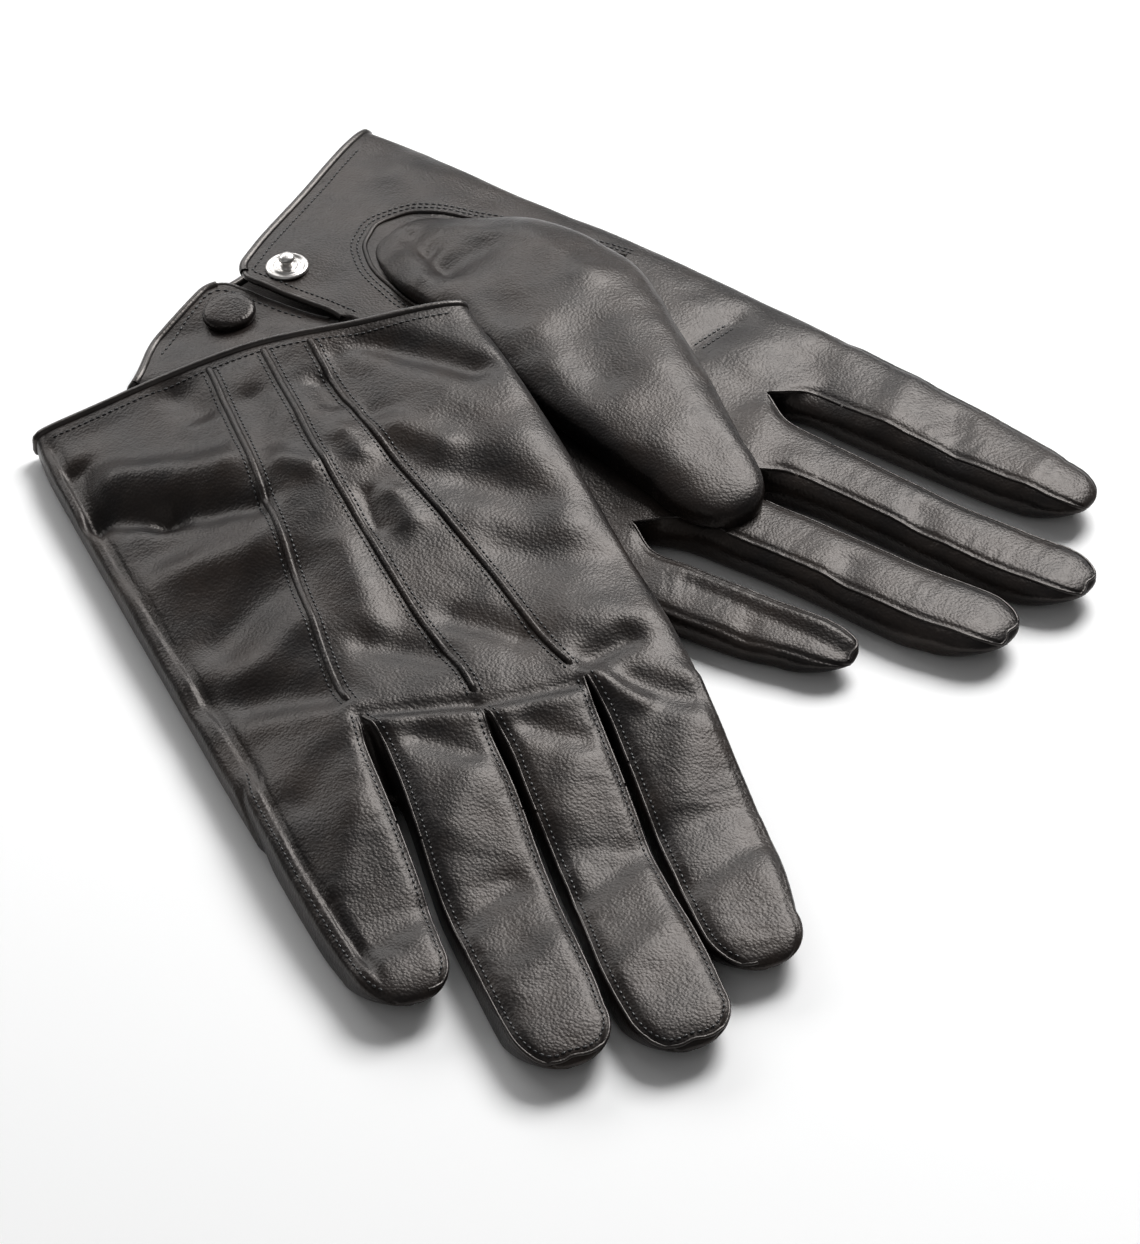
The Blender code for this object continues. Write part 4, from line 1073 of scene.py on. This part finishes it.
def tillDrop(places, ups):
    # ends a seam where the leather falls away under it
    drop = np.flatnonzero(np.diff(places[:, 2]) < -0.7)
    last = drop[0] + 1 if len(drop) and drop[0] > 4 else len(places)
    return places[:last], ups[:last]


def dressFinger(g, finger):
    # the stitch rows and seams round one finger, cut where its own piece starts
    left, right = fingerOutline(g, finger)
    path = evenPath(np.concatenate([left, right[::-1]]), sewing["fingerStep"])
    index = fingerNames.index(finger)
    split = g["folds"][finger] - grid["beforeFold"]
    tip = g["fingers"][finger][1][1]
    stitchEnd = tip - sewing["longEnd" if finger in ("ring", "middle") else "shortEnd"]
    rows = {"hand": [], "finger": []}
    seams = {"hand": [], "finger": []}
    for inset, end, store in ((sewing["fingerInset"], stitchEnd, rows),
                              (sewing["seamInset"], tip - sewing["seamEnd"], seams)):
        line = besidePath(path, inset)
        top = int(np.argmax(line[:, 1]))
        for way, half in ((0, line[:top + 1]), (1, line[top:][::-1])):
            outer = (index == 0 and way == 0) or (index == 3 and way == 1)
            if outer and (store is seams or g["palmUp"] or index == 0):
                continue
            near, far = splitAt(half[half[:, 1] < end], split)
            store["hand"].append(near)
            store["finger"].append(far)
    tree = g["probe"]
    return ({k: [onSurface(tree, p, sewing["rise"]) for p in v if len(p) > 2] for k, v in rows.items()},
            {k: [tillDrop(*onSurface(tree, p, -sewing["seamSink"])) for p in v if len(p) > 2] for k,
             v in seams.items()})


palmSewing = {
    "vent": ((11.6, 0), (12.4, 1.5), (12.5, 46)),  # the first two from the cuff's stitch row
    "flap": ((19.0, 34), (19.0, 12.5), (20.2, 9.6), (23, 8.2), (33, 9.6), (46, 12.2)),
    "flapStitch": {"pitch": 2.0, "size": (1.45, 0.62, 0.52)},
    "arch": ((-45, 88), (-43.6, 80), (-41.5, 70.5), (-39.1, 54.5), (-33.4, 39.9), (-27.7, 31.6),
             (-19.4, 28.8), (-10.3, 32.3), (-3.4, 40.5), (1.0, 52.2), (3.4, 62)),
    "archSeam": 0.7, "archRows": (1.9, 3.4), "archEvery": 6,
    "bars": (((-36, 122.8), (-26, 121.4)), ((-36, 125.2), (-26, 123.8))),
    "cuffInset": 3.6, "cuffFrom": -46, "cuffTo": {"left": 12, "right": 50},
}


def sewPalm(g, cuffEnd):
    # what only an upturned palm shows: the vent's and flap's rows, the thumb's arch and two short bars
    side, tree, step = g["side"], g["probe"], sewing["step"]

    def row(path):
        return onSurface(tree, path, sewing["rise"])

    flap = stitches(f"{side}ButtonFlapStitches", g, [row(evenPath(palmSewing["flap"], step))],
                    **palmSewing["flapStitch"])
    flapBlend(flap)
    arch = evenPath(palmSewing["arch"], step)
    every = palmSewing["archEvery"]
    places = arch[::every]
    at = np.arange(len(places) * every - every + 1)
    arch = np.stack([smoothLine(list(zip(range(0, len(arch), every), places[:, i])), at) for i in (0, 1)],
                    axis=1)
    seam = cord(f"{side}ThumbSeam", g, [onSurface(tree, arch, -0.1)], palmSewing["archSeam"], skinFinish,
                10)
    rideOn(seam, g["body"], "leather")
    vent = [(u, v + (cuffEnd if number < 2 else 0)) for number, (u, v) in enumerate(palmSewing["vent"])]
    return ([row(evenPath(vent, step))] + [row(besidePath(arch, away)) for away in palmSewing["archRows"]]
            + [row(evenPath(bar, step)) for bar in palmSewing["bars"]])


def dressGlove(g):
    side, tree, below = g["side"], g["probe"], g["palmUp"]
    handStitches, handSeams = [], []
    for finger in fingerNames:
        rows, seams = dressFinger(g, finger)
        if not below:
            handStitches += rows["hand"]
            if rows["finger"]:
                piece = stitches(f"{side}{finger.capitalize()}Stitches", g, rows["finger"])
                fingerBlend(piece)
        handSeams += seams["hand"]
        if seams["finger"]:
            piece = cord(f"{side}{finger.capitalize()}Seams", g, seams["finger"], sewing["seamRadius"],
                         edgeFinish, 8)
            fingerBlend(piece)
    seams = cord(f"{side}HandSeams", g, handSeams, sewing["seamRadius"], edgeFinish, 8)
    rideOn(seams, g["body"], "leather")
    # the three points on the back
    backLines = g["lowLines"] if below else g["topLines"]
    backForks = g["lowForks"] if below else g["topForks"]
    rise = pointsShape["rise"] - (pointsShape["under"] if below else 0)
    for line, fork, name in zip(backLines, backForks, ("index", "middle", "little")):
        start = float(smoothLine(g["cuff"], smoothLine(line, 5.0))) + pointsShape["from"]
        v = np.arange(start, fork - pointsShape["stop"], 1.0)
        path = np.stack([smoothLine(line, v), v], axis=1)
        places, ups = onSurface(tree, path, rise, below)
        places[0] -= ups[0] * pointsShape["dip"]
        places[-1] -= ups[-1] * pointsShape["dip"]
        piece = cord(f"{side}Point{name.capitalize()}Side", g, [(places, ups)], pointsShape["radius"],
                     skinFinish, 14)
        rideOn(piece, g["body"], "leather", f"{side}_point_{name}_side")
        if not below:
            for away in (-pointsShape["beside"], pointsShape["beside"]):
                handStitches.append(onSurface(tree, besidePath(path[2:], away), sewing["rise"]))
    u = np.arange(palmSewing["cuffFrom"], palmSewing["cuffTo"][side], sewing["step"])
    path = np.stack([u, smoothLine(g["cuff"], u) + palmSewing["cuffInset"]], axis=1)
    handStitches.append(onSurface(tree, path, sewing["rise"]))
    if below:
        handStitches += sewPalm(g, path[-1][1])
    rideOn(stitches(f"{side}HandStitches", g, handStitches), g["body"], "leather")


def cuffLoop(g):
    # the cuff's edge all round, from the flap side of the vent to its stud side, with the way out of it
    nc, nw = grid["columns"], grid["wall"]
    rows = [g["rings"][f][0] for f in fingerNames]
    top = [(p, (0, 0, 1)) for row in rows for p in row[:nc]]
    low = [(p, (0, 0, -1)) for row in rows for p in row[nc + nw:2 * nc + nw][::-1]]
    turn = np.linspace(60, -60, nw)
    right = [(p, (math.cos(math.radians(a)), 0, math.sin(math.radians(a)))) for p,
             a in zip(rows[3][nc:nc + nw], turn)]
    left = [(p, (-math.cos(math.radians(a)), 0, math.sin(math.radians(a))))
            for p, a in zip(rows[0][2 * nc + nw:][::-1], turn)]
    half = 2 * nc
    if g["palmUp"]:
        loop = top[half:] + right + low[::-1] + left[::-1] + top[:half]
    else:
        loop = low[half:] + right[::-1] + top[::-1] + left + low[:half]
    return np.array([p for p, _ in loop]), np.array([n for _, n in loop], float)


def ventEdges(g):
    # the two edges of the vent, from the cuff up: stud side, flap side
    nc, nw = grid["columns"], grid["wall"]
    last = int(grid["handRows"] * 0.245)
    slot = {"middle": nc - 1, "ring": 0} if g["palmUp"] else {"middle": nc + nw, "ring": 2 * nc + nw - 1}
    return [g["rings"][f][:last, slot[f]] for f in ("middle", "ring")]


roll = {"radius": 1.25, "ventRadius": 0.82, "inside": 0.55}


def bindCuff(g):
    side = g["side"]
    up = 1 if g["palmUp"] else -1

    def finished(points, ups, onPalm, radius):
        points = roundCorners(g, pressRelief(g, points), onPalm)
        deep = flapDepth(g, points[:, 0], points[:, 1]) + flapCut["reach"]
        isFlap = onPalm & (points[:, 0] > leather["ventAt"]) & (deep > 0)
        leaned = leanFlap(g, points.copy())
        points = np.where(isFlap[:, None], leaned, points)
        points = points - ups * roll["inside"]
        points[:, 2] = np.maximum(points[:, 2], radius + 0.05)
        return points, isFlap

    loop, ups = cuffLoop(g)
    onPalm = ups[:, 2] * up > 0.9
    keep = np.concatenate([[True], np.linalg.norm(np.diff(loop, axis=0), axis=1) > 1e-3])
    loop, ups, onPalm = loop[keep], ups[keep], onPalm[keep]
    places, isFlap = finished(loop, ups, onPalm, roll["radius"])
    split = int(np.argmin(isFlap))
    rest = [(places[split - 1:], ups[split - 1:])]
    flap = [(places[:split], ups[:split])]
    for number, edge in enumerate(ventEdges(g)):
        ups = np.tile([0, 0, up], (len(edge), 1)).astype(float)
        places, isFlap = finished(edge, ups, np.ones(len(edge), bool), roll["ventRadius"])
        places -= ups * 0.05
        if number == 0:
            rest.append((places, ups))
        else:
            count = int(isFlap.sum())
            flap.append((places[:count + 1], ups[:count + 1]))
    cuffRoll = cord(f"{side}CuffEdge", g, rest[:1], roll["radius"], edgeFinish, 12)
    rideOn(cuffRoll, g["body"], "edge_leather", f"{side}_cuff_edge")
    ventRoll = cord(f"{side}VentEdge", g, rest[1:], roll["ventRadius"], edgeFinish, 10)
    rideOn(ventRoll, g["body"], "edge_leather")
    flapNode = f"{side}_button_flap_edge"
    for name, paths, radius, nodes in (("ButtonFlapEdge", flap[:1], roll["radius"], (flapNode,)),
                                       ("ButtonFlapVentEdge", flap[1:], roll["ventRadius"], ())):
        piece = cord(f"{side}{name}", g, paths, radius, edgeFinish, 12)
        flapBlend(piece)
        if nodes:
            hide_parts(*nodes)


snap = {
    "stud": ((0.05, 0), (5.0, 0), (5.4, 0.25), (5.42, 0.6), (5.2, 0.95), (4.8, 1.05), (4.4, 0.9),
             (4.15, 0.62), (3.7, 0.58), (3.45, 0.8), (3.2, 1.0), (2.85, 1.02), (2.6, 0.85), (2.4, 0.62),
             (1.9, 0.6), (1.55, 0.75), (1.4, 1.1), (1.32, 1.7), (1.5, 2.15), (1.9, 2.5), (2.08, 2.95),
             (2.0, 3.4), (1.65, 3.8), (1.1, 4.02), (0.5, 4.1), (0.05, 4.12)),
    "cap": ((0.05, -0.4), (5.9, -0.4), (6.35, 0.0), (6.62, 0.5), (6.68, 1.05), (6.56, 1.6), (6.25, 2.05),
            (5.75, 2.34), (5.1, 2.48), (3.9, 2.54), (2.4, 2.57), (1.0, 2.58), (0.05, 2.58)),
    "socket": ((0.05, 0), (1.6, 0), (2.0, 0.15), (2.1, 0.5), (2.6, 0.5), (2.9, 0.2), (3.8, 0.1),
               (4.3, 0.25), (4.5, 0.6), (4.4, 1.2), (4.0, 1.5), (0.05, 1.5)),
    "back": ((0.05, 0), (1.6, 0), (1.8, 0.2), (2.4, 0.35), (3.4, 0.3), (3.9, 0.3), (4.0, 0.5), (3.9, 0.75),
             (0.05, 0.78)),
}


def addSnap(g):
    side = g["side"]
    up = 1 if g["palmUp"] else -1
    centre = {}
    for kind in ("cap", "stud"):
        low, high = (np.array(c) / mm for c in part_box(f"{side}_snap_{kind}"))
        middle = (low + high) / 2 - np.array([*g["at"], 0])
        turn = math.radians(-g["turn"])
        c, s = math.cos(turn), math.sin(turn)
        centre[kind] = (middle[0] * c - middle[1] * s, middle[0] * s + middle[1] * c)
    if g["palmUp"]:
        centre["cap"] = (centre["cap"][0], centre["cap"][1] + flapCut["leanV"])
    for kind, where, finish, slot, body, rise in (
            ("stud", "stud", nickelFinish, "nickel", g["body"], 0.05),
            ("back", "stud", darkMetalFinish, "dark_metal", g["body"], -1.25),
            ("cap", "cap", capFinish, "edge_leather", f"{side}_flap", 0.2),
            ("socket", "cap", darkMetalFinish, "dark_metal", f"{side}_flap", -1.25)):
        places, ups = onSurface(g["probe"], [centre[where]], rise, not g["palmUp"])
        u, v, z = places[0]
        tilt = (-ups[0][0] / ups[0][2], -ups[0][1] / ups[0][2])
        inner = kind in ("back", "socket")
        node = {"stud": "snap_stud", "back": "snap_stud_back", "cap": "snap_cap",
                "socket": "snap_socket"}[kind]
        piece = lathe(f"{side}Snap{kind.capitalize()}", g, snap[kind], u, v, z, finish, 56, tilt,
                      (not g["palmUp"]) != inner)
        rideOn(piece, body, slot, f"{side}_{node}")


bindCuff(leftGlove)
bindCuff(rightGlove)
addSnap(leftGlove)
addSnap(rightGlove)
dressGlove(leftGlove)
dressGlove(rightGlove)
print("stitching done")


# floor, camera and lights
floorMesh = bpy.data.meshes.new("table")
floorMesh.from_pydata([(-3, -3, 0), (3, -3, 0), (3, 3, 0), (-3, 3, 0)], [], [(0, 1, 2, 3)])
floorMesh.materials.append(floorFinish)
floor = bpy.data.objects.new("table", floorMesh)
bpy.context.scene.collection.objects.link(floor)

view = {"at": (-0.5767, -0.7033, 0.7393), "towards": (-0.00425, -0.0211, 0.0), "lens": 144.7}
cameraData = bpy.data.cameras.new("camera")
cameraData.lens = view["lens"]
camera = bpy.data.objects.new("camera", cameraData)
camera.location = view["at"]
camera.rotation_euler = (Vector(view["towards"]) - Vector(view["at"])).to_track_quat("-Z", "Y").to_euler()
bpy.context.scene.collection.objects.link(camera)
bpy.context.scene.camera = camera


def softBox(name, place, aim, size, power, colour=(1, 1, 1)):
    data = bpy.data.lights.new(name, "AREA")
    data.shape = "RECTANGLE"
    data.size, data.size_y = size
    data.energy = power
    data.color = colour
    lamp = bpy.data.objects.new(name, data)
    lamp.location = place
    lamp.rotation_euler = (Vector(aim) - Vector(place)).to_track_quat("-Z", "Y").to_euler()
    bpy.context.scene.collection.objects.link(lamp)


softBox("keyBox", (0.85, 0.35, 0.95), (0, 0, 0), (0.7, 0.7), 22)
softBox("backBox", (0.25, 1.25, 0.7), (0, 0, 0), (1.5, 0.5), 9)
softBox("fillBox", (-1.2, -0.6, 1.2), (0, 0, 0), (1.0, 1.0), 1.5)
world = bpy.data.worlds.new("room")
world.use_nodes = True
world.node_tree.nodes["Background"].inputs["Color"].default_value = (1, 1, 1, 1)
world.node_tree.nodes["Background"].inputs["Strength"].default_value = 0.15
bpy.context.scene.world = world
bpy.context.scene.view_settings.view_transform = "Standard"
